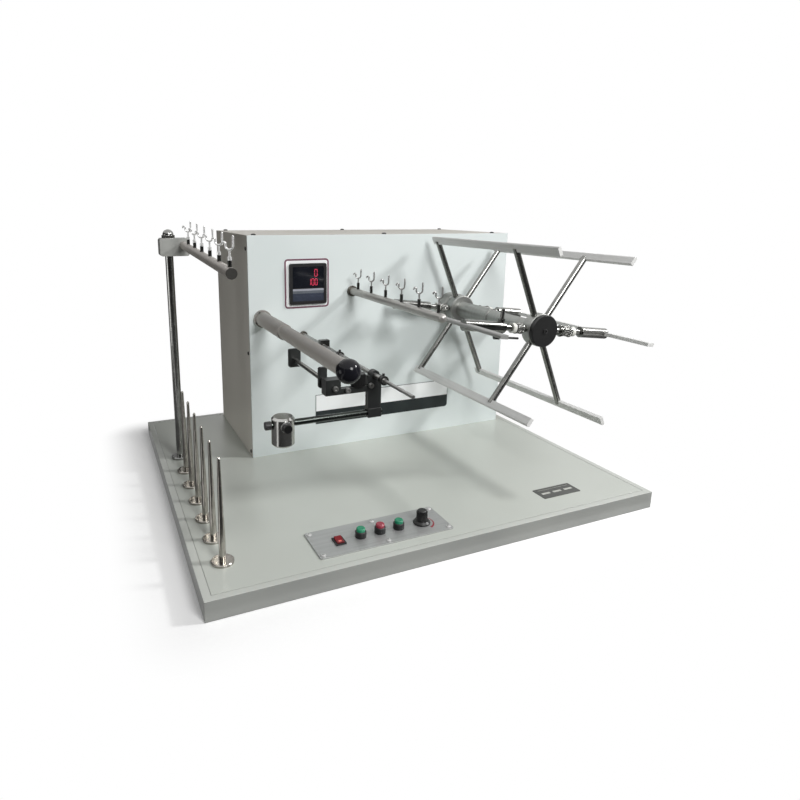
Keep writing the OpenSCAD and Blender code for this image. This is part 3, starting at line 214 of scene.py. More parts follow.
def edgeGroup():
    # rounds sharp edges in the shading and marks them
    tree, ins, outs = newGroup("edgeSoften", "Shader", {
        "Radius": "Float", "Gain": "Float",
    }, {"Normal": "Vector", "Mask": "Float"})
    samples = {"samples": shading["bevelSamples"]}
    bevel = add(tree, "Bevel", samples, Radius=ins["Radius"]).outputs[0]
    flat = add(tree, "NewGeometry").outputs["True Normal"]
    gap = calc("SUBTRACT", 1.0, vectorCalc("DOT_PRODUCT", bevel, flat)["Value"])
    feed(outs["Mask"], calc("MULTIPLY", gap, ins["Gain"], clamp=True))
    feed(outs["Normal"], bevel)
    return tree


def dustGroup():
    # thin dust where the surface faces up
    tree, ins, outs = newGroup("topDust", "Shader", {
        "Vector": "Vector", "Scale": "Float", "Amount": "Float",
    }, {"Mask": "Float"})
    up = span(normalParts(tree)["Z"], *shading["dustUp"])
    cloud = noise(ins["Vector"], ins["Scale"], shading["richDetail"])
    cloud = span(cloud, *shading["dustCloud"])
    feed(outs["Mask"], times(up, cloud, ins["Amount"]))
    return tree


def brushGroup():
    # fine lines across or along a piece: the stretch is largest across the lines
    tree, ins, outs = newGroup("brushLines", "Shader", {
        "Vector": "Vector", "Stretch": "Vector", "Scale": "Float",
    }, {"Line": "Float", "Band": "Float"})
    pulled = vectorCalc("MULTIPLY", ins["Vector"], ins["Stretch"])["Vector"]
    feed(outs["Line"], noise(pulled, ins["Scale"], shading["richDetail"]))
    band = noise(pulled, times(ins["Scale"], shading["bandScale"]), shading["fineDetail"])
    feed(outs["Band"], span(band, *shading["cloud"]))
    return tree


surfaceGrain = grainGroup()
edgeSoften = edgeGroup()
topDust = dustGroup()
brushLines = brushGroup()


def use(tree, group, **feeds):
    return add(tree, "Group", {"node_tree": group}, **feeds).outputs


def newMaterial(name):
    material = bpy.data.materials.new(name)
    material.use_nodes = True
    material.node_tree.nodes.clear()
    return material, material.node_tree


def newSurface(name):
    material, tree = newMaterial(name)
    shader = add(tree, "BsdfPrincipled")
    add(tree, "OutputMaterial", Surface=shader.outputs[0])
    coords = add(tree, "TexCoord").outputs["Object"]
    return material, tree, shader.inputs, coords


def feedSurface(shader, color, rough, normal):
    for key, value in (("Base Color", color), ("Roughness", rough), ("Normal", normal)):
        feed(shader[key], value)


def bumped(height, normal, strength, distance):
    feeds = {"Height": height, "Normal": normal, "Strength": strength, "Distance": distance}
    return add(height.id_data, "Bump", **feeds).outputs[0]


# paints, plastics, rubber and printed plates
edgeGain = 2.0
# where the painted side shade fades in, by the height of the surface normal
paintedSideShadeSpan = (0.75, 0.35)


def coated(name, s):
    material, tree, shader, coords = newSurface(name)
    grain = use(tree, surfaceGrain, Vector=coords, Broad_Scale=s["cloudScale"], Fine_Scale=s["grainScale"])
    edge = use(tree, edgeSoften, Radius=s["edgeRadius"], Gain=edgeGain)
    dust = use(tree, topDust, Vector=coords, Scale=s["dustScale"], Amount=s["dust"])
    color = blendColor(grain["Broad"], s["color"], s["shade"])
    # painted shade: upright faces take the darker side colours
    if "side" in s:
        side = span(calc("ABSOLUTE", normalParts(tree)["Z"]), *paintedSideShadeSpan)
        color = blendColor(side, color, blendColor(grain["Broad"], s["side"], s["sideShade"]))
    color = blendColor(times(edge["Mask"], s["wear"]), color, s["edgeColor"])
    color = blendColor(dust["Mask"], color, s["dustColor"])
    rough = calc("MULTIPLY_ADD", grain["Fine"], s["spread"], s["rough"])
    rough = calc("MULTIPLY_ADD", dust["Mask"], s["dustRough"], rough)
    normal = bumped(grain["Fine"], edge["Normal"], s["grainDepth"], s["grainHeight"])
    feedSurface(shader, color, rough, normal)
    shader["Specular IOR Level"].default_value = s["shine"]
    if "glow" in s:
        feed(shader["Emission Color"], color)
        shader["Emission Strength"].default_value = s["glow"]
    return material


def coat(base, color, shade, edgeColor, **more):
    return {**base, "color": tone(*color), "shade": tone(*shade), "edgeColor": tone(*edgeColor), **more}


painted = {"dustScale": 9.0, "dustColor": tone(176, 172, 162), "dustRough": 0.4, "grainHeight": 0.0004,
           "shine": 0.5}
glossy = {"rough": 0.10, "spread": 0.06, "grainScale": 700.0, "grainDepth": 0.01, "cloudScale": 30.0,
          "edgeRadius": 0.0005, "wear": 0.25, "dust": 0.04, "dustScale": 60.0,
          "dustColor": tone(150, 146, 138), "dustRough": 0.3, "grainHeight": 0.0003, "shine": 0.5}
matt = {**glossy, "rough": 0.42, "spread": 0.12, "grainScale": 1300.0, "grainDepth": 0.12, "cloudScale": 40.0,
        "edgeRadius": 0.0004, "dust": 0.06}
coats = {
    "panelPaint": coat(
        painted, (226, 233, 232), (219, 227, 226), (245, 247, 246), rough=0.31, spread=0.06, wear=0.25,
        cloudScale=4.0, grainScale=700.0, grainDepth=0.03, dust=0.0, edgeRadius=0.0012),
    "cabinetPaint": coat(
        painted, (221, 217, 208), (212, 208, 199), (236, 235, 230), rough=0.36, spread=0.08, wear=0.3,
        cloudScale=3.5, grainScale=700.0, grainDepth=0.06, dust=0.12, edgeRadius=0.0015),
    "sheetPaint": coat(
        painted, (195, 199, 192), (190, 194, 187), (228, 229, 224), rough=0.285, spread=0.03, wear=0.2,
        cloudScale=3.0, grainScale=520.0, grainDepth=0.01, dust=0.04, edgeRadius=0.0006),
    "trayPaint": coat(
        painted, (197, 200, 194), (191, 194, 188), (214, 215, 210), rough=0.28, spread=0.04, wear=0.3,
        cloudScale=5.0, grainScale=520.0, grainDepth=0.02, dust=0.04, edgeRadius=0.0015,
        # the side colours are painted shade on the tray's upright faces
        side=tone(168, 170, 166), sideShade=tone(158, 160, 157)),
    "castPaint": coat(
        painted, (171, 172, 168), (160, 161, 157), (188, 189, 187), rough=0.40, spread=0.10, wear=0.35,
        cloudScale=30.0, grainScale=420.0, grainDepth=0.25, dust=0.15, edgeRadius=0.0012),
    "blackPaint": coat(
        painted, (37, 39, 39), (44, 46, 45), (104, 104, 100), rough=0.33, spread=0.10, wear=0.3,
        cloudScale=40.0, grainScale=900.0, grainDepth=0.14, dust=0.05, edgeRadius=0.0007),
    "ballGloss": coat(glossy, (24, 24, 29), (28, 28, 33), (36, 36, 40), shine=0.2),
    "discBlack": coat(matt, (17, 17, 18), (23, 23, 23), (54, 54, 52)),
    "knobBlack": coat(matt, (14, 14, 15), (20, 20, 20), (62, 62, 60), rough=0.3),
    "caseBlack": coat(matt, (11, 11, 13), (15, 15, 17), (52, 52, 54)),
    "nylonWhite": coat(matt, (236, 236, 230), (226, 226, 219), (246, 246, 242)),
    "rockerRed": coat(glossy, (116, 20, 28), (100, 14, 22), (160, 50, 54), rough=0.40, shine=0.3),
    "capRed": coat(glossy, (158, 48, 68), (144, 38, 58), (206, 116, 128), rough=0.22),
    "capGreen": coat(glossy, (26, 142, 102), (18, 124, 90), (110, 204, 168), rough=0.22),
    "beltRubber": coat(matt, (30, 30, 30), (40, 40, 39), (62, 62, 60)),
    "boardGreen": coat(matt, (26, 92, 56), (20, 78, 48), (120, 150, 110)),
    "windowGlass": coat(glossy, (22, 24, 30), (27, 29, 36), (70, 72, 78), rough=0.06),
    "padBlue": coat(matt, (44, 52, 70), (38, 45, 62), (86, 94, 112)),
    "stripPale": coat(matt, (164, 166, 176), (154, 156, 166), (190, 192, 198)),
    "stripGrey": coat(matt, (96, 102, 110), (86, 92, 100), (120, 126, 132)),
    "digitRed": coat(matt, (214, 50, 84), (200, 40, 72), (230, 110, 130), glow=0.3),
    "lampSpot": coat(glossy, (226, 106, 98), (214, 92, 86), (236, 150, 140), glow=0.25),
    "lineViolet": coat(matt, (124, 82, 98), (114, 72, 88), (150, 112, 126)),
    "arcRed": coat(matt, (150, 54, 64), (138, 46, 56), (176, 90, 98)),
    "labelWhite": coat(glossy, (250, 252, 252), (245, 247, 247), (252, 253, 253), rough=0.42),
    "labelBlack": coat(glossy, (26, 34, 36), (34, 42, 44), (70, 76, 78), rough=0.28),
    "infoBlack": coat(glossy, (58, 60, 56), (66, 68, 64), (120, 120, 116), rough=0.30),
    # a grey that stands in for the shade in the top sheet's seam
    "sealGrey": coat(matt, (172, 174, 169), (163, 165, 160), (190, 191, 187)),
    "infoField": coat(matt, (196, 197, 190), (186, 187, 180), (216, 216, 210)),
}

# metals
# wall and low bound the painted reflection on a round wall's lower side
metalDetail = {"edgeShare": 0.4, "fineScale": 1500.0, "lineHeight": 0.0002, "wall": (0.9, 0.3),
               "low": (0.95, 0.05)}


def metal(name, s):
    d = metalDetail
    material, tree, shader, coords = newSurface(name)
    lines = use(tree, brushLines, Vector=coords, Stretch=s["stretch"], Scale=s["lineScale"])
    grain = use(tree, surfaceGrain, Vector=coords, Broad_Scale=s["smudgeScale"], Fine_Scale=d["fineScale"])
    edge = use(tree, edgeSoften, Radius=s["edgeRadius"], Gain=edgeGain)
    color = blendColor(lines["Band"], s["color"], s["shade"])
    if "under" in s:
        # painted reflection: the round wall's lower side gets the pale base's colour as a mirror of it, its
        # end faces do not
        normal = normalParts(tree)
        wall = span(calc("ABSOLUTE", normal["Y"]), *d["wall"])
        color = blendColor(times(wall, span(normal["Z"], *d["low"])), color, s["under"])
    color = blendColor(times(edge["Mask"], d["edgeShare"]), color, s["edgeColor"])
    if "dark" in s:
        mask = s["dark"](coords)
        color = blendColor(mask, color, s["darkColor"])
        change = s["darkMetal"] - s["metal"]
        feed(shader["Metallic"], calc("MULTIPLY_ADD", mask, change, s["metal"]))
    else:
        shader["Metallic"].default_value = s["metal"]
    rough = calc("MULTIPLY_ADD", grain["Broad"], s["smudge"], s["rough"])
    rough = calc("MULTIPLY_ADD", lines["Line"], s["lineRough"], rough)
    normal = bumped(lines["Line"], edge["Normal"], s["lineDepth"], d["lineHeight"])
    feedSurface(shader, color, rough, normal)
    return material


reelAxis = pivotOf("reel_spin")
rockAxis = pivotOf("rocker_swing")
latchOut = Vector(joints["latch_slide"]["axis"])
latchDown = -Vector(joints["lock_turn"]["axis"])
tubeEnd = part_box("overhead_tube")[0].y
# soft edges of the dark parts that share a node with bright metal
darkEdges = inMm(knobOut=(83.8, 84.1), knobDown=(12.5, 13.0), collar=(4.2, 4.5), plug=(2.6, 2.2), stub=0.3)
hookFoot = {
    "guideTop": (0, 0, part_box("guide_rod")[1].z),
    "overheadTop": (-0.3335, 0.122, 0.4625),  # tube's upper side at the post
    "droop": math.radians(2.0),
    **inMm(guideHeight=13, overheadHeight=8.5),
}
overheadUp = (0, -math.sin(hookFoot["droop"]), math.cos(hookFoot["droop"]))


def stubMask(origin, axis, height):
    # the lower stub of a yarn hook is dark, its wire is bright
    soft = darkEdges["stub"]
    return lambda coords: span(along(coords, axis, origin), height + soft, height - soft)


def pullKnobMask(coords):
    # the small black pull knob at the end of the stop rod under the left sleeve
    out = span(along(coords, latchOut, reelAxis), *darkEdges["knobOut"])
    down = span(along(coords, latchDown, reelAxis), *darkEdges["knobDown"])
    return times(out, down)


def collarMask(coords):
    # set collars and stop finger stand proud of the bright balance shaft
    x = along(coords, (1, 0, 0), rockAxis)
    z = along(coords, (0, 0, 1), rockAxis)
    far = calc("SQRT", calc("ADD", times(x, x), times(z, z)))
    return span(far, *darkEdges["collar"])


def plugMask(coords):
    # dark end plug of the overhead tube
    return span(along(coords, (0, 1, 0), (0, tubeEnd, 0)), *darkEdges["plug"])


plainLines = {"stretch": (30.0, 30.0, 30.0), "lineScale": 30.0, "lineRough": 0.04, "lineDepth": 0.004}
acrossY = {"stretch": (2.0, 90.0, 2.0), "lineScale": 40.0, "lineRough": 0.08, "lineDepth": 0.05}
lengthY = {"stretch": (90.0, 2.0, 90.0), "lineScale": 40.0, "lineRough": 0.10, "lineDepth": 0.05}
lengthX = {"stretch": (2.0, 90.0, 90.0), "lineScale": 40.0, "lineRough": 0.08, "lineDepth": 0.04}


def steel(color, shade, edgeColor, rough, lines=plainLines, metal=1.0, smudge=0.08, smudgeScale=40.0,
          edgeRadius=0.0004, **more):
    return {"color": (*color, 1), "shade": (*shade, 1), "edgeColor": (*edgeColor, 1), "metal": metal,
            "rough": rough, "smudge": smudge, "smudgeScale": smudgeScale, "edgeRadius": edgeRadius,
            **lines, **more}


def darkened(mask, color, metal):
    return {"dark": mask, "darkColor": tone(*color), "darkMetal": metal}


flatBar = {"smudge": 0.06, "smudgeScale": 20.0, "edgeRadius": 0.0007}
thinWire = {"smudge": 0.06, "smudgeScale": 90.0, "edgeRadius": 0.0002}
smallHead = {"smudgeScale": 300.0, "edgeRadius": 0.0002}
guideStub = stubMask(hookFoot["guideTop"], (0, 0, 1), hookFoot["guideHeight"])
overheadStub = stubMask(hookFoot["overheadTop"], overheadUp, hookFoot["overheadHeight"])
metals = {
    "chromePlate": steel((0.52, 0.52, 0.50), (0.45, 0.45, 0.43), (0.7, 0.7, 0.68), 0.10),
    "spindleChrome": steel(
        (0.44, 0.42, 0.385), (0.36, 0.34, 0.31), (0.6, 0.58, 0.54), 0.12, smudge=0.10, smudgeScale=60.0),
    "armChrome": steel(
        (0.29, 0.29, 0.275), (0.24, 0.24, 0.23), (0.4, 0.4, 0.38), 0.18, smudge=0.05, smudgeScale=50.0),
    "latchChrome": steel(
        (0.24, 0.24, 0.23), (0.19, 0.19, 0.18), (0.5, 0.5, 0.48), 0.14, smudgeScale=50.0,
        **darkened(pullKnobMask, (30, 30, 30), 0.0)),
    # under is a painted reflection of the pale base on the tube's lower side
    "tubeChrome": steel(
        (0.28, 0.265, 0.245), (0.255, 0.24, 0.225), (0.5, 0.48, 0.45), 0.42, acrossY, metal=0.25,
        smudgeScale=30.0, under=(0.64, 0.61, 0.565, 1)),
    "darkChrome": steel(
        (0.33, 0.33, 0.32), (0.27, 0.27, 0.26), (0.5, 0.5, 0.48), 0.14, edgeRadius=0.0005),
    "shaftSteel": steel(
        (0.36, 0.36, 0.35), (0.30, 0.30, 0.29), (0.5, 0.5, 0.48), 0.26, metal=0.9, edgeRadius=0.0005,
        **darkened(collarMask, (40, 40, 39), 0.3)),
    "overheadSatin": steel(
        (0.50, 0.47, 0.435), (0.46, 0.43, 0.40), (0.6, 0.58, 0.55), 0.38, acrossY, metal=0.5,
        edgeRadius=0.0005, **darkened(plugMask, (70, 69, 66), 0.5)),
    "beamChrome": steel(
        (0.09, 0.10, 0.093), (0.07, 0.08, 0.073), (0.3, 0.3, 0.29), 0.16, lengthX, edgeRadius=0.0005),
    "barSatin": steel(
        (0.80, 0.80, 0.785), (0.75, 0.75, 0.735), (0.86, 0.86, 0.85), 0.48, lengthY, metal=0.1, **flatBar),
    "rodSatin": steel(
        (0.44, 0.43, 0.405), (0.40, 0.39, 0.37), (0.55, 0.54, 0.52), 0.28, metal=0.6, smudge=0.06),
    "latchSatin": steel(
        (0.36, 0.36, 0.35), (0.32, 0.32, 0.31), (0.5, 0.5, 0.49), 0.42, lengthY, metal=0.35, **flatBar),
    "plateSatin": steel(
        (0.46, 0.465, 0.46), (0.41, 0.415, 0.41), (0.7, 0.7, 0.7), 0.38, lengthX, metal=0.65,
        **{**flatBar, "edgeRadius": 0.0006}),
    "turnedSteel": steel(
        (0.36, 0.365, 0.35), (0.32, 0.325, 0.31), (0.55, 0.55, 0.53), 0.32, acrossY, metal=0.9,
        smudgeScale=25.0, edgeRadius=0.0007),
    "guideHookWire": steel(
        (0.52, 0.52, 0.51), (0.46, 0.46, 0.45), (0.6, 0.6, 0.6), 0.24, metal=0.9, **thinWire,
        **darkened(guideStub, (62, 62, 60), 0.7)),
    "overheadHookWire": steel(
        (0.92, 0.92, 0.91), (0.86, 0.86, 0.85), (0.95, 0.95, 0.95), 0.22, metal=0.6, **thinWire,
        **darkened(overheadStub, (52, 52, 50), 0.7)),
    "bushBronze": steel(
        (0.19, 0.18, 0.16), (0.15, 0.14, 0.12), (0.4, 0.38, 0.35), 0.30, metal=0.9, smudge=0.10,
        smudgeScale=60.0),
    "screwSteel": steel(
        (0.66, 0.66, 0.65), (0.54, 0.54, 0.53), (0.85, 0.85, 0.84), 0.22, smudge=0.10, **smallHead),
    "screwBright": steel(
        (0.64, 0.64, 0.63), (0.56, 0.56, 0.55), (0.8, 0.8, 0.79), 0.36, metal=0.6, smudge=0.06, **smallHead),
    "screwDull": steel(
        (0.30, 0.30, 0.29), (0.24, 0.24, 0.23), (0.5, 0.5, 0.49), 0.36, metal=0.8, smudge=0.06, **smallHead),
    "screwBlack": steel(
        (0.05, 0.05, 0.05), (0.08, 0.08, 0.08), (0.3, 0.3, 0.29), 0.34, metal=0.8, smudge=0.10, **smallHead),
}

makers = ((coated, coats), (metal, metals))
finishes = {name: make(name, s) for make, table in makers for name, s in table.items()}
print("finishes made:", len(finishes))

dressing = {
    "panelPaint": "front_panel",
    "cabinetPaint": "cabinet_shell rear_panel",
    "sheetPaint": "top_sheet",
    "trayPaint": "base_tray",
    "castPaint": "arm_block front_bearing rear_bearing_stand drive_motor traverse_unit",
    "blackPaint": "rocker_plates",
    "chromePlate": "dancer_rod sliding_weight",
    "rodSatin": "guide_rod",
    "overheadSatin": "overhead_tube",
    "shaftSteel": "rocker_shaft",
    "spindleChrome": "spindles",
    "armChrome": "reel_arms release_sleeves",
    "latchChrome": "latch_sleeves",
    "tubeChrome": "tension_tube",
    "darkChrome": "post dome_nut lock_screw",
    "beamChrome": "steelyard_beam",
    "barSatin": "reel_bars release_bar",
    "latchSatin": "latch_bar",
    "plateSatin": "control_plate power_supply reel_pulley motor_pulley",
    "turnedSteel": "reel_barrel rear_hub front_hub reel_shaft count_disc count_sensor speed_pot",
    "guideHookWire": "guide_hooks",
    "overheadHookWire": "overhead_hooks",
    "bushBronze": "shaft_bush guide_bush",
    "ballGloss": "ball_knob",
    "discBlack": "end_disc",
    "knobBlack": "beam_knob thumb_screw trim_knob speed_knob",
    "caseBlack": "counter_case switch_frame button_housings power_inlet",
    "nylonWhite": "arm_buffers",
    "rockerRed": "rocker_switch",
    "capGreen": "start_button reset_button",
    "capRed": "stop_button",
    "beltRubber": "drive_belt",
    "boardGreen": "control_board",
}
for name, dressed in dressing.items():
    for node in dressed.split():
        mesh = nodes[node].data
        mesh.materials.clear()
        mesh.materials.append(finishes[name])
print("nodes dressed:", sum(len(d.split()) for d in dressing.values()))


# mesh helpers
def roundOutline(w, h, r, steps=6):
    # corner arcs of a round rectangle about the origin
    points = []
    for turn, (sx, sy) in enumerate(((1, 1), (-1, 1), (-1, -1), (1, -1))):
        for i in range(steps + 1):
            a = quarter * (turn + i / steps)
            points.append((sx * (w / 2 - r) + r * math.cos(a), sy * (h / 2 - r) + r * math.sin(a)))
    return points


def slab(bm, points, thick, slot=0, hole=None, shift=(0, 0)):
    # extrudes an outline, or the band between two outlines, up from its plane
    dx, dy = shift
    rings = []
    for outline, way in ((points, 1), (hole, -1)):
        if outline:
            low = [bm.verts.new((x + dx, y + dy, 0)) for x, y in outline]
            high = [bm.verts.new((x + dx, y + dy, thick)) for x, y in outline]
            rings.append((low, high, way))
    loops = []
    for low, high, way in rings:
        for i in range(len(low)):
            loops.append((low[i - 1], low[i], high[i], high[i - 1])[::way])
    low, high, _ = rings[0]
    if hole:
        lowIn, highIn, _ = rings[1]
        for i in range(len(low)):
            loops.append((high[i - 1], high[i], highIn[i], highIn[i - 1]))
            loops.append((low[i], low[i - 1], lowIn[i - 1], lowIn[i]))
    else:
        loops += [high, low[::-1]]
    for loop in loops:
        bm.faces.new(loop).material_index = slot


def frontPlane(x, y, z):
    # outline x to the right, outline y up, thickness towards the viewer (-Y)
    return Matrix.Translation((x, y, z)) @ Matrix.Rotation(quarter, 4, "X")


rimSteps = 2


def piece(name, bm, materials, place, bevel=0.0, body="frame"):
    bm.transform(place)
    bmesh.ops.recalc_face_normals(bm, faces=bm.faces)
    mesh = bpy.data.meshes.new(name)
    bm.to_mesh(mesh)
    bm.free()
    for material in materials:
        mesh.materials.append(finishes[material])
    made = linked(name, mesh)
    if bevel:
        rim = made.modifiers.new("rim", "BEVEL")
        rim.width = bevel
        rim.segments = rimSteps
        rim.limit_method = "ANGLE"
    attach(made, body)


# counter face: window, two-tone strip, keypad with four keys, glowing digits
caseMiddle = middleOf("counter_case")
counter = {
    "middle": (caseMiddle.x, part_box("counter_case")[0].y, caseMiddle.z),
    "keyCount": 4,
    "digitText": ("0", "100"),
    # sheets of the face: width, height, middle above the case's middle
    **inMm(glass=(64.6, 41, 13.2), stripTop=(66.0, 3.8, -11.4), strip=(66.0, 5.0, -16.0)),
    **inMm(pad=(64.6, 15.0, -26.2), recess=1.5, sheet=0.9, sheetRound=1.2, sheetRim=0.25),
    **inMm(keySize=(9.5, 6.0), keyRound=1.4, keyRise=0.5, keyRim=0.3, keyStep=15),
    **inMm(digitTall=(13.5, 12.5), digitWide=(7.6, 6.9), digitFoot=(14.8, -2.6), digitSpace=2.2),
    **inMm(digitRight=20.6, digitRise=0.12, segment=1.3, segmentGap=0.4),
}
facePieces = (("counterWindow", "glass", "windowGlass"), ("counterStripTop", "stripTop", "stripPale"),
              ("counterStrip", "strip", "stripGrey"), ("counterPad", "pad", "padBlue"))
segmentsOf = {"0": "abcdef", "1": "bc"}


def digitBars(w, h):
    # the six outer bars of a digit as (middle, lies level)
    low, high = h / 4, h * 3 / 4
    return {
        "a": ((w / 2, h), True), "d": ((w / 2, 0), True),
        "f": ((0, high), False), "b": ((w, high), False), "e": ((0, low), False), "c": ((w, low), False),
    }


def counterDigits(bm, c):
    for text, tall, wide, foot in zip(*(c["digit" + k] for k in ("Text", "Tall", "Wide", "Foot"))):
        w = wide - c["digitSpace"]
        left = c["digitRight"] - wide * len(text)
        bars = digitBars(w, tall)
        for n, char in enumerate(text):
            for key in segmentsOf[char]:
                (u, v), level = bars[key]
                half = ((w if level else tall / 2) - c["segmentGap"]) / 2
                s = c["segment"] / 2
                tip = [(-half, 0), (-half + s, -s), (half - s, -s), (half, 0), (half - s, s), (-half + s, s)]
                shape = tip if level else [(-b, a) for a, b in tip]
                slab(bm, shape, c["sheet"] + c["digitRise"], shift=(left + n * wide + u, foot + v))


def counterFace(c):
    x, y, z = c["middle"]
    floor = y + c["recess"]
    for name, key, finish in facePieces:
        w, h, up = c[key]
        bm = bmesh.new()
        slab(bm, roundOutline(w, h, c["sheetRound"]), c["sheet"])
        piece(name, bm, [finish], frontPlane(x, floor, z + up), c["sheetRim"])
    bm = bmesh.new()
    for i in range(c["keyCount"]):
        side = (i - (c["keyCount"] - 1) / 2) * c["keyStep"]
        slab(bm, roundOutline(*c["keySize"], c["keyRound"]), c["sheet"] + c["keyRise"], shift=(side, 0))
    place = frontPlane(x, floor, z + c["pad"][2])
    piece("counterKeys", bm, ["padBlue"], place, c["keyRim"])
    bm = bmesh.new()
    counterDigits(bm, c)
    piece("counterDigits", bm, ["digitRed"], frontPlane(x, floor, z))


counterFace(counter)

# printed violet line and white card round the counter
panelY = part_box("front_panel")[0].y
borderLine = {"steps": 8, **inMm(middle=(-106.2, 379.6), size=(92.5, 97), round=7, wide=3.2, thick=0.25,
                                 card=0.15, cut=(77.4, 80.4), cutRound=2)}


def borderRing(s):
    (w, h), (x, z), steps = s["size"], s["middle"], s["steps"]
    inner = roundOutline(w - 2 * s["wide"], h - 2 * s["wide"], s["round"] - s["wide"], steps)
    dx, dy = counter["middle"][0] - x, counter["middle"][2] - z
    cut = [(a + dx, b + dy) for a, b in roundOutline(*s["cut"], s["cutRound"], steps)]
    bm = bmesh.new()
    slab(bm, roundOutline(w, h, s["round"], steps), s["thick"], hole=inner)
    slab(bm, inner, s["card"], 1, hole=cut)
    piece("counterBorder", bm, ["lineViolet", "labelWhite"], frontPlane(x, panelY, z))


borderRing(borderLine)

# bare front plate: white field over a black stripe, thin black outline
frontPlate = inMm(left=-89, right=233, low=83, high=146.5, stripe=28, round=6, line=1.0, thick=0.6,
                  fieldRise=0.15)


def platePoints(w, h, r, lowRound, steps=6):
    # a rectangle with a round upper right corner, the lower one may be round too
    points = [(0, 0)]
    for y, turn, isRound in ((r, -quarter, lowRound), (h - r, 0.0, True)):
        if isRound:
            arc = [turn + quarter * i / steps for i in range(steps + 1)]
            points += [(w - r + r * math.cos(a), y + r * math.sin(a)) for a in arc]
        else:
            points.append((w, 0))
    return points + [(0, h)]


def barePlate(s):
    w, h = s["right"] - s["left"], s["high"] - s["low"]
    bm = bmesh.new()
    slab(bm, platePoints(w, h, s["round"], True), s["thick"], 1)
    field = platePoints(w - 2 * s["line"], h - s["stripe"] - s["line"], s["round"] - s["line"], False)
    slab(bm, field, s["thick"] + s["fieldRise"], shift=(s["line"], s["stripe"]))
    place = frontPlane(s["left"], panelY, s["low"])
    piece("frontPlate", bm, ["labelWhite", "labelBlack"], place)


barePlate(frontPlate)

# painted shade: a grey bead fills the seam round the top sheet and stands in for its shade
sheetLow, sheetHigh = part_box("top_sheet")
seamShadeStrip = {"steps": 2, **inMm(gap=0.9, low=1.2, thick=0.9, clear=0.04, clearRound=0.02)}


def seamShadeBead(s):
    w, h = sheetHigh.x - sheetLow.x, sheetHigh.y - sheetLow.y
    inner = roundOutline(w + s["clear"], h + s["clear"], s["clearRound"], s["steps"])
    bm = bmesh.new()
    slab(bm, roundOutline(w + 2 * s["gap"], h + 2 * s["gap"], s["gap"], s["steps"]), s["thick"], hole=inner)
    middle = middleOf("top_sheet")
    place = Matrix.Translation((middle.x, middle.y, sheetHigh.z - s["low"]))
    piece("seamShadeStrip", bm, ["sealGrey"], place)


seamShadeBead(seamShadeStrip)

# bare dark plate on the base; its blank fields: left, front, width and depth in mm
infoPlate = {"fields": ((6, 27, 70, 1.2), (7, 13, 18, 5), (32, 13, 18, 5), (57, 13, 18, 5)), "fieldSteps": 3,
             **inMm(left=201, right=283, front=-307, back=-273.5, round=2, thick=0.7),
             **inMm(fieldRound=0.8, fieldRise=0.12)}


def blankPlate(s):
    w, d = s["right"] - s["left"], s["back"] - s["front"]
    bm = bmesh.new()
    slab(bm, roundOutline(w, d, s["round"]), s["thick"], shift=(w / 2, d / 2))
    for x, y, fw, fd in s["fields"]:
        field = roundOutline(fw * mm, fd * mm, s["fieldRound"], s["fieldSteps"])
        slab(bm, field, s["thick"] + s["fieldRise"], 1, shift=((x + fw / 2) * mm, (y + fd / 2) * mm))
    place = Matrix.Translation((s["left"], s["front"], sheetHigh.z))
    piece("infoPlate", bm, ["infoBlack", "infoField"], place)


blankPlate(infoPlate)

# red crescent beside the speed knob
ctlLow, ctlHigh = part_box("control_plate")
speedArc = {"from": -70.0, "to": 35.0, "steps": 24, **inMm(radius=19.0, widest=3.0, tip=0.3, thick=0.2)}


def crescent(s):
    outer, inner = [], []
    for i in range(s["steps"] + 1):
        t = i / s["steps"]
        a = math.radians(s["from"] + (s["to"] - s["from"]) * t)
        half = s["tip"] + s["widest"] * (1 - t) / 2
        for points, r in ((outer, s["radius"] + half), (inner, s["radius"] - half)):
            points.append((r * math.cos(a), r * math.sin(a)))
    bm = bmesh.new()
    slab(bm, outer + inner[::-1], s["thick"])
    middle = pivotOf("speed_turn")
    place = Matrix.Translation((middle.x, middle.y, ctlHigh.z))
    piece("speedArc", bm, ["arcRed"], place)


crescent(speedArc)

# lamp spot in the power rocker
rockerSpot = {"tilt": math.radians(8.0), "lean": math.radians(10.5),
              **inMm(size=(5.0, 4.0), round=1.2, thick=0.35, rim=0.12, rise=3.35, back=-3.2)}


def rockerLamp(s):
    bm = bmesh.new()
    slab(bm, roundOutline(*s["size"], s["round"]), s["thick"])
    place = Matrix.Translation(pivotOf("power_switch")) @ Matrix.Rotation(s["tilt"], 4, "X")
    place = place @ Matrix.Translation((0, s["back"], s["rise"])) @ Matrix.Rotation(-s["lean"], 4, "X")
    piece("rockerLamp", bm, ["lampSpot"], place, s["rim"], "power_rocker")


rockerLamp(rockerSpot)
print("counter and plates made")


# geometry nodes: screws on marked points, ribs round an axis
def geo(tree, kind, props=None, **feeds):
    return add(tree, "GeometryNode" + kind, props, **feeds).outputs[0]


def vectorOf(tree, x=0.0, y=0.0, z=0.0):
    return add(tree, "CombineXYZ", X=x, Y=y, Z=z).outputs[0]


def aimed(tree, axis, vector):
    return add(tree, "FunctionNodeAlignRotationToVector", {"axis": axis}, Vector=vector).outputs[0]


def turnedBy(tree, start, axis, angle):
    turn = add(tree, "FunctionNodeAxisAngleToRotation", Axis=axis, Angle=angle).outputs[0]
    local = {"rotation_space": "LOCAL"}
    return add(tree, "FunctionNodeRotateRotation", local, Rotation=start, Rotate_By=turn).outputs[0]


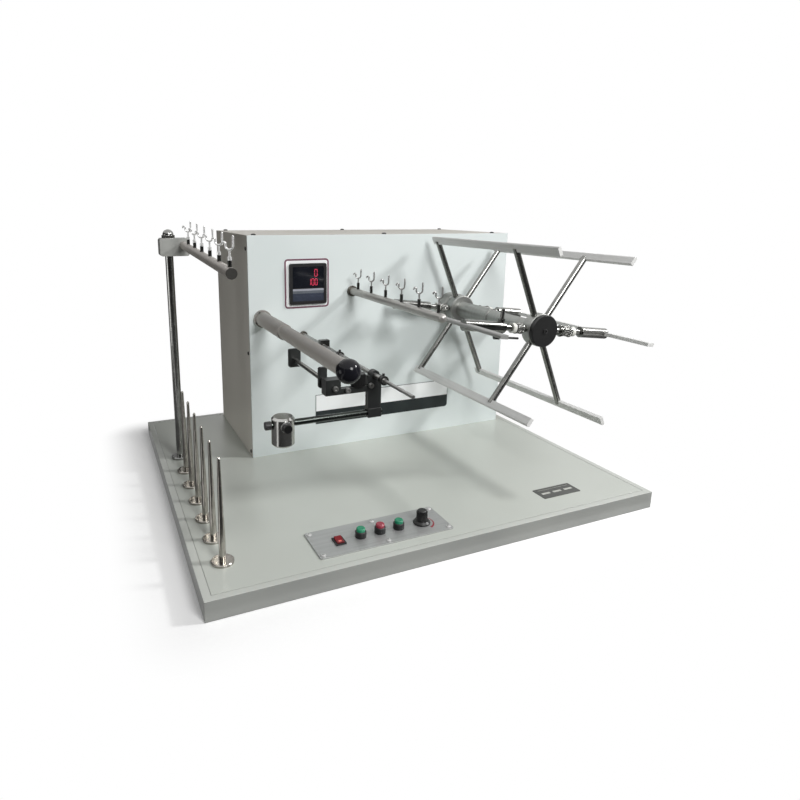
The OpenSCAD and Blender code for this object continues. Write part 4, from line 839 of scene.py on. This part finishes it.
def finished(geometry, finish, angle=0.6):
    # smooth faces, with the edges over the angle kept sharp
    tree = geometry.id_data
    compare = add(tree, "FunctionNodeCompare", {"data_type": "FLOAT", "operation": "LESS_THAN"})
    flat = feedAll(compare, (geo(tree, "InputMeshEdgeAngle"), angle))[0]
    faces = geo(tree, "SetShadeSmooth", {"domain": "FACE"}, Geometry=geometry)
    edges = geo(tree, "SetShadeSmooth", {"domain": "EDGE"}, Geometry=faces, Shade_Smooth=flat)
    return geo(tree, "SetMaterial", Geometry=edges, Material=finish)


# topFrom is a share of the head's height, crossSlim and toolDeep of the recess's width and depth
screwShape = {"sides": 24, "sideRings": 2, "topRings": 4, "topFrom": 0.4, "crossSlim": 0.28, "toolDeep": 2.0}
ribSides = 8
crossDome = 0.45
screwSeed = 3


def screwTree(s):
    tree, ins, outs = newGroup("screwHeads", "Geometry", {
        "Geometry": "Geometry", "Head Width": "Float", "Head Height": "Float", "Recess Width": "Float",
        "Recess Depth": "Float", "Dome": "Float", "Hex Recess": "Bool", "Seed": "Int", "Finish": "Material",
    }, {"Geometry": "Geometry"})
    height, wide = ins["Head Height"], ins["Recess Width"]
    radius = times(ins["Head Width"], 0.5)
    head = geo(tree, "MeshCylinder", {"fill_type": "TRIANGLE_FAN"}, Vertices=s["sides"], Radius=radius,
               Side_Segments=s["sideRings"], Fill_Segments=s["topRings"], Depth=height)
    spot = parts(geo(tree, "InputPosition"))
    far = calc("ADD", times(spot["X"], spot["X"]), times(spot["Y"], spot["Y"]))
    share = calc("DIVIDE", far, times(radius, radius))
    top = calc("GREATER_THAN", spot["Z"], times(height, s["topFrom"]))
    lower = times(share, ins["Dome"], height, top, -1.0)
    domed = geo(tree, "SetPosition", Geometry=head, Offset=vectorOf(tree, z=lower))
    deep = times(ins["Recess Depth"], s["toolDeep"])
    slim = times(wide, s["crossSlim"])
    bars = [geo(tree, "MeshCube", Size=vectorOf(tree, x, y, deep)) for x, y in ((wide, slim), (slim, wide))]
    cross = geo(tree, "MeshBoolean", {"operation": "UNION"}, Mesh_2=bars)
    hexPin = geo(tree, "MeshCylinder", Vertices=6, Depth=deep, Radius=times(wide, 0.5))
    pick = geo(tree, "Switch", {"input_type": "GEOMETRY"}, Switch=ins["Hex Recess"],
               **{"False": cross, "True": hexPin})
    lift = vectorOf(tree, z=times(height, 0.5))
    tool = geo(tree, "Transform", Geometry=pick, Translation=lift)
    recessed = geo(tree, "MeshBoolean", {"operation": "DIFFERENCE"}, Mesh_1=domed, Mesh_2=tool)
    seated = geo(tree, "Transform", Geometry=recessed, Translation=lift)
    facing = geo(tree, "InputNamedAttribute", {"data_type": "FLOAT_VECTOR"}, Name="facing")
    # input 3 is the largest turn and output 1 the turn drawn
    chance = add(tree, "FunctionNodeRandomValue", {"data_type": "FLOAT"}, Seed=ins["Seed"])
    chance.inputs[3].default_value = math.tau
    turned = turnedBy(tree, aimed(tree, "Z", facing), (0, 0, 1), chance.outputs[1])
    placed = geo(tree, "InstanceOnPoints", Points=ins["Geometry"], Instance=seated, Rotation=turned)
    solid = geo(tree, "RealizeInstances", Geometry=placed)
    feed(outs["Geometry"], finished(solid, ins["Finish"]))
    return tree


def ribTree():
    tree, ins, outs = newGroup("ribRing", "Geometry", {
        "Count": "Int", "Ring Radius": "Float", "Rib Length": "Float", "Rib Width": "Float", "Lean": "Float",
        "Both Ways": "Bool", "Centre": "Vector", "Turn": "Vector", "Finish": "Material",
    }, {"Geometry": "Geometry"})
    ring = geo(tree, "MeshCircle", Vertices=ins["Count"], Radius=ins["Ring Radius"])
    half = times(ins["Rib Width"], 0.5)
    rib = geo(tree, "MeshCylinder", Vertices=ribSides, Depth=ins["Rib Length"], Radius=half)
    outward = aimed(tree, "X", geo(tree, "InputPosition"))
    rows = []
    for way in (1.0, -1.0):
        leaned = turnedBy(tree, outward, (1, 0, 0), times(ins["Lean"], way))
        rows.append(geo(tree, "InstanceOnPoints", Points=ring, Instance=rib, Rotation=leaned))
    both = geo(tree, "Switch", {"input_type": "GEOMETRY"}, Switch=ins["Both Ways"], **{"True": rows[1]})
    joined = geo(tree, "JoinGeometry", Geometry=[rows[0], both])
    solid = geo(tree, "RealizeInstances", Geometry=joined)
    placed = geo(tree, "Transform", Geometry=solid, Translation=ins["Centre"], Rotation=ins["Turn"])
    feed(outs["Geometry"], finished(placed, ins["Finish"]))
    return tree


def baked(name, tree, values, source, body):
    # runs a tree on a source mesh and keeps the plain result
    carrier = linked(name + "Carrier", source)
    modifier = carrier.modifiers.new("nodes", "NODES")
    modifier.node_group = tree
    sockets = {i.name: i.identifier for i in tree.interface.items_tree if i.in_out == "INPUT"}
    for label, value in values.items():
        modifier[sockets[label]] = value
    graph = bpy.context.evaluated_depsgraph_get()
    result = carrier.evaluated_get(graph)
    mesh = bpy.data.meshes.new_from_object(result, preserve_all_data_layers=True, depsgraph=graph)
    carrier.modifiers.remove(modifier)
    bpy.data.objects.remove(carrier)
    mesh.name = name
    made = linked(name, mesh)
    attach(made, body)


screwHeads = screwTree(screwShape)
ribRing = ribTree()


def screws(name, spots, s, finish="screwBlack", body="frame"):
    # spots are (point, facing) pairs in metres; a head with a dome of its own has a hexagon socket
    source = bpy.data.meshes.new(name + "Spots")
    source.from_pydata([p for p, _ in spots], [], [])
    facing = source.attributes.new("facing", "FLOAT_VECTOR", "POINT")
    for i, (_, way) in enumerate(spots):
        facing.data[i].vector = way
    labels = ("Head Width", "Head Height", "Recess Width", "Recess Depth")
    values = {label: value * mm for label, value in zip(labels, s["size"])}
    values.update({"Hex Recess": "dome" in s, "Dome": s.get("dome", crossDome), "Seed": screwSeed,
                   "Finish": finishes[finish]})
    baked(name, screwHeads, values, source, body)


def ribs(name, body, slot, finish, size, centre, turn, lean=0.0, both=False):
    count, radius, length, width = size
    baked(name, ribRing, {
        "Count": count, "Ring Radius": radius * mm, "Rib Length": length * mm, "Rib Width": width * mm,
        "Lean": lean, "Both Ways": both, "Centre": centre, "Turn": turn, "Finish": finishes[finish]},
        bpy.data.meshes.new(name + "Seed"), body)


toFront, toTop, toLeft, toRight, toBack = (0, -1, 0), (0, 0, 1), (-1, 0, 0), (1, 0, 0), (0, 1, 0)
# sizes are head width, head height, recess width and recess depth in mm
plateScrews = {"size": (7.6, 2.2, 3.4, 0.6), **inMm(inEnd=6.5, inSide=7.0)}
topScrews = {"size": (9.5, 3.0, 5.2, 1.5), **inMm(frontX=(-209, 68, 340), backX=(-205, 85, 366), inset=8)}
sideScrews = {"size": (7.5, 2.3, 4.4, 1.2), "rearCount": 4, **inMm(sideZ=(449, 245, 40), rearIn=9)}
boltRing = {"dome": 0.15, "count": 4}
flangeScrews = {**boltRing, "size": (4.0, 2.4, 2.2, 1.0), "turn": 0.5, **inMm(radius=14.2, flange=8)}
bearingScrews = {**boltRing, "size": (6.5, 4.0, 3.4, 1.6), "turn": 0.6, **inMm(radius=27, sink=2.0)}
discScrew = {"size": (9.0, 2.2, 5.0, 1.6), "dome": 0.12}
bracketScrews = {"size": (8.5, 4.2, 4.4, 2.2), "dome": 0.12,
                 **inMm(placesX=(-181, -161, -123), placesZ=(264, 259.5, 263))}


def circleSpots(node, y, s):
    middle = middleOf(node)
    spots = []
    for i in range(s["count"]):
        a = s["turn"] + math.tau * i / s["count"]
        x, z = middle.x + s["radius"] * math.cos(a), middle.z + s["radius"] * math.sin(a)
        spots.append(((x, y, z), toFront))
    return spots


def addCabinetScrews():
    low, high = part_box("cabinet_shell")
    s = topScrews
    front, back = low.y + s["inset"], high.y - s["inset"]
    rows = ((s["frontX"], front), (s["backX"], back))
    screws("topScrews", [((x, y, high.z), toTop) for row, y in rows for x in row], s)
    s = sideScrews
    sides = ((low.x, toLeft), (high.x, toRight))
    screws("cabinetScrews", [((x, front, z), way) for x, way in sides for z in s["sideZ"]], s)
    low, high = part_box("rear_panel")
    edge = s["rearIn"]
    step = (high.x - low.x - 2 * edge) / (s["rearCount"] - 1)
    columns = [low.x + edge + step * i for i in range(s["rearCount"])]
    rows = (low.z + edge, high.z - edge)
    screws("rearScrews", [((x, high.y, z), toBack) for x in columns for z in rows], s)


def addScrews():
    s = plateScrews
    columns = (ctlLow.x + s["inEnd"], (ctlLow.x + ctlHigh.x) / 2, ctlHigh.x - s["inEnd"])
    rows = (ctlLow.y + s["inSide"], ctlHigh.y - s["inSide"])
    spots = [((x, y, ctlHigh.z), toTop) for x in columns for y in rows]
    screws("plateScrews", spots, s, "screwBright")
    addCabinetScrews()
    s = flangeScrews
    spots = circleSpots("tension_tube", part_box("tension_tube")[1].y - s["flange"], s)
    screws("flangeScrews", spots, s)
    s = bearingScrews
    spots = circleSpots("front_bearing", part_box("front_bearing")[0].y + s["sink"], s)
    screws("bearingScrews", spots, s, "screwSteel")
    spots = [((reelAxis.x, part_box("end_disc")[0].y, reelAxis.z), toFront)]
    screws("discScrew", spots, discScrew, body="reel")
    s = bracketScrews
    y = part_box("rocker_plates")[0].y
    spots = [((x, y, z), toFront) for x, z in zip(s["placesX"], s["placesZ"])]
    screws("bracketScrews", spots, s, "screwDull", "rocker")


addScrews()

# ribs: count, ring radius, length and width in mm; inset is from the knob's end to the ribs' middle
thumbRibs = {"size": (28, 5.85, 6.4, 1.0), "inset": 4.0 * mm}
trimRibs = {"size": (40, 10.8, 17.5, 1.3), "inset": 10.0 * mm}
speedRibs = {"size": (22, 8.15, 11.5, 1.7), "inset": 8.2 * mm}
beamRibs = {"size": (26, 5.85, 7.6, 1.0)}
# the collars on the telescope rods: side, way out, radius of the middle, length
collarRibs = {"sides": (("right", -latchOut, 61.5 * mm, 25.0), ("left", latchOut, 46.0 * mm, 14.5)),
              "count": 22, "ring": 8.9, "width": 1.0, "lean": 0.5}


def addRibs():
    look = ("black_plastic", "knobBlack")
    at = pivotOf("thumb_turn")
    at.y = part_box("thumb_screw")[0].y + thumbRibs["inset"]
    ribs("thumbKnurl", "thumb", *look, thumbRibs["size"], at, (quarter, 0, 0))
    at = pivotOf("trim_turn")
    at.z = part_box("trim_knob")[1].z - trimRibs["inset"]
    ribs("trimKnurl", "trim", *look, trimRibs["size"], at, (0, 0, 0))
    at = pivotOf("speed_turn")
    at.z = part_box("speed_knob")[1].z - speedRibs["inset"]
    ribs("knobFlutes", "speed", *look, speedRibs["size"], at, (0, 0, 0))
    ribs("beamKnurl", "rocker", *look, beamRibs["size"], middleOf("beam_knob"), (0, quarter, 0))
    s = collarRibs
    for label, way, radius, length in s["sides"]:
        turn = (0, math.atan2(way.x, way.z), 0)
        for row, hub in (("Front", "front_hub"), ("Rear", "rear_hub")):
            at = reelAxis + way * radius
            at.y = middleOf(hub).y
            size = (s["count"], s["ring"], length, s["width"])
            ribs(label + "Knurl" + row, "reel", "chrome", "armChrome", size, at, turn, s["lean"], True)


addRibs()

# bright washer under the weight's thumb screw
washer = {"sides": 32, **inMm(outer=8.0, inner=3.4, thick=2.6, sink=1.9, rim=0.25)}


def thumbWasher(s):
    turns = [math.tau * i / s["sides"] for i in range(s["sides"])]
    outer, inner = ([(s[k] * math.cos(a), s[k] * math.sin(a)) for a in turns] for k in ("outer", "inner"))
    bm = bmesh.new()
    slab(bm, outer, s["thick"], hole=inner)
    middle = pivotOf("thumb_turn")
    place = frontPlane(middle.x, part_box("sliding_weight")[0].y + s["sink"], middle.z)
    piece("thumbWasher", bm, ["screwSteel"], place, s["rim"], "weight")


thumbWasher(washer)
print("screws, knurls and washer made")

# floor, light and background
studio = {
    "floorSize": 14.0, "floorColor": (0.90, 0.90, 0.90, 1), "floorLift": 0.16, "floorDrop": 0.5 * mm,
    "bounceColor": (0.18, 0.18, 0.17, 1), "shadowReach": 0.11,
    "worldDiffuse": 0.14, "worldColor": (1.0, 1.0, 1.0, 1),
    "aim": (0.05, 0.0, 0.25),
    "sidePlace": (-1.7, 0.5, 0.6), "sideSize": (3.2, 1.2), "sideColor": (0.08, 0.08, 0.075, 1),
    "wallRough": 0.9,
}
# lamps: place, size and power
lamps = {
    "frontLamp": ((0.1, -2.0, 1.5), 0.8, 33.0),
    "rightLamp": ((2.17, -1.0, 1.95), 0.4, 50.0),
    "leftLamp": ((-1.6, 0.0, 0.2), 0.8, 3.2),
    "backLamp": ((0.3, 1.9, 0.22), 0.8, 3.0),
}
# dark flags round the studio: middle and width in degrees from +X, height, grey
flags = {
    "radius": 3.6,
    "inner": (0.415, 0.375),  # half sizes of the bare floor round the base
    "lift": 0.002,
    "tiny": 1e-6,
    "steps": 24,
    "panels": ((266, 104, 2.4, 0.02), (345, 40, 2.0, 0.16), (175, 56, 2.0, 0.16), (90, 96, 1.6, 0.10)),
}


def seenRay(tree):
    # camera, glossy and transmission rays all see the white background
    path = add(tree, "LightPath").outputs
    seen = calc("MAXIMUM", path["Is Camera Ray"], path["Is Glossy Ray"])
    return calc("MAXIMUM", seen, path["Is Transmission Ray"])


def mixShaders(factor, low, high):
    return feedAll(add(factor.id_data, "MixShader"), (factor, low, high))[0]


def staged(name, points, faces, material):
    mesh = bpy.data.meshes.new(name)
    mesh.from_pydata(points, [], faces)
    mesh.materials.append(material)
    made = linked(name, mesh)
    return made


def flatGrey(name, color):
    material = bpy.data.materials.new(name)
    material.use_nodes = True
    shader = material.node_tree.nodes["Principled BSDF"].inputs
    shader["Base Color"].default_value = color
    shader["Roughness"].default_value = studio["wallRough"]
    return material


def addFloor(s):
    # pale floor that keeps the shadow near the object and runs into white further off
    material, tree = newMaterial("floorPaper")
    pale = add(tree, "BsdfDiffuse", Color=s["floorColor"]).outputs[0]
    lift = add(tree, "Emission", Strength=s["floorLift"]).outputs[0]
    near = feedAll(add(tree, "AddShader"), (pale, lift))[0]
    white = add(tree, "Emission", Strength=1.0).outputs[0]
    coords = parts(add(tree, "TexCoord").outputs["Object"])
    low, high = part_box("base_tray")
    reach = 0.0
    for axis, start, end in (("X", low.x, high.x), ("Y", low.y, high.y)):
        beyond = calc("SUBTRACT", calc("ABSOLUTE", coords[axis]), max(-start, end))
        beyond = calc("MAXIMUM", beyond, 0.0)
        reach = calc("MULTIPLY_ADD", beyond, beyond, reach)
    far = span(calc("SQRT", reach), 0.0, s["shadowReach"])
    seen = mixShaders(far, near, white)
    bounce = add(tree, "BsdfDiffuse", Color=s["bounceColor"]).outputs[0]
    add(tree, "OutputMaterial", Surface=mixShaders(seenRay(tree), bounce, seen))
    half = s["floorSize"] / 2
    corners = [(-half, -half, 0), (half, -half, 0), (half, half, 0), (-half, half, 0)]
    staged("floor", corners, [(0, 1, 2, 3)], material).location.z = -s["floorDrop"]


def addFlags(s):
    # only mirrors see the flags: they give bright metal its dark stripes
    for i, (middle, wide, high, grey) in enumerate(s["panels"]):
        points, faces = [], []
        for k in range(s["steps"] + 1):
            a = math.radians(middle - wide / 2 + wide * k / s["steps"])
            ways = (math.cos(a), math.sin(a))
            near = min(half / max(abs(c), s["tiny"]) for half, c in zip(s["inner"], ways))
            for reach, z in ((near, s["lift"]), (s["radius"], s["lift"]), (s["radius"], high)):
                points.append((reach * ways[0], reach * ways[1], z))
            if k:
                n = 3 * k
                faces += [(n - 3, n, n + 1, n - 2), (n - 2, n + 1, n + 2, n - 1)]
        name = "flag%d" % i
        flag = staged(name, points, faces, flatGrey(name, (grey, grey, grey, 1)))
        for ray in ("camera", "diffuse", "shadow"):
            setattr(flag, "visible_" + ray, False)


def addSideWall(s):
    # grey wall that keeps light off the cabinet's left side
    w, h = s["sideSize"]
    x, y, z = s["sidePlace"]
    corners = [(x, y + a * w / 2, z + b * h / 2) for a, b in ((-1, -1), (1, -1), (1, 1), (-1, 1))]
    wall = staged("sideWall", corners, [(0, 1, 2, 3)], flatGrey("sideWall", s["sideColor"]))
    wall.visible_camera = False


def addLamp(name, place, size, power, aim):
    data = bpy.data.lights.new(name, "AREA")
    data.shape = "DISK"
    data.size = size
    data.energy = power
    turn = (Vector(aim) - Vector(place)).to_track_quat("-Z", "Y").to_matrix().to_4x4()
    linked(name, data).matrix_world = Matrix.Translation(place) @ turn


def addWorld(s):
    world = bpy.data.worlds.new("studio")
    bpy.context.scene.world = world
    world.use_nodes = True
    tree = world.node_tree
    tree.nodes.clear()
    dim = add(tree, "Background", Color=s["worldColor"], Strength=s["worldDiffuse"]).outputs[0]
    white = add(tree, "Background", Color=(1, 1, 1, 1), Strength=1.0).outputs[0]
    add(tree, "OutputWorld", Surface=mixShaders(seenRay(tree), dim, white))


addFloor(studio)
addFlags(flags)
addSideWall(studio)
for name, (place, size, power) in lamps.items():
    addLamp(name, place, size, power, studio["aim"])
addWorld(studio)
print("studio set")
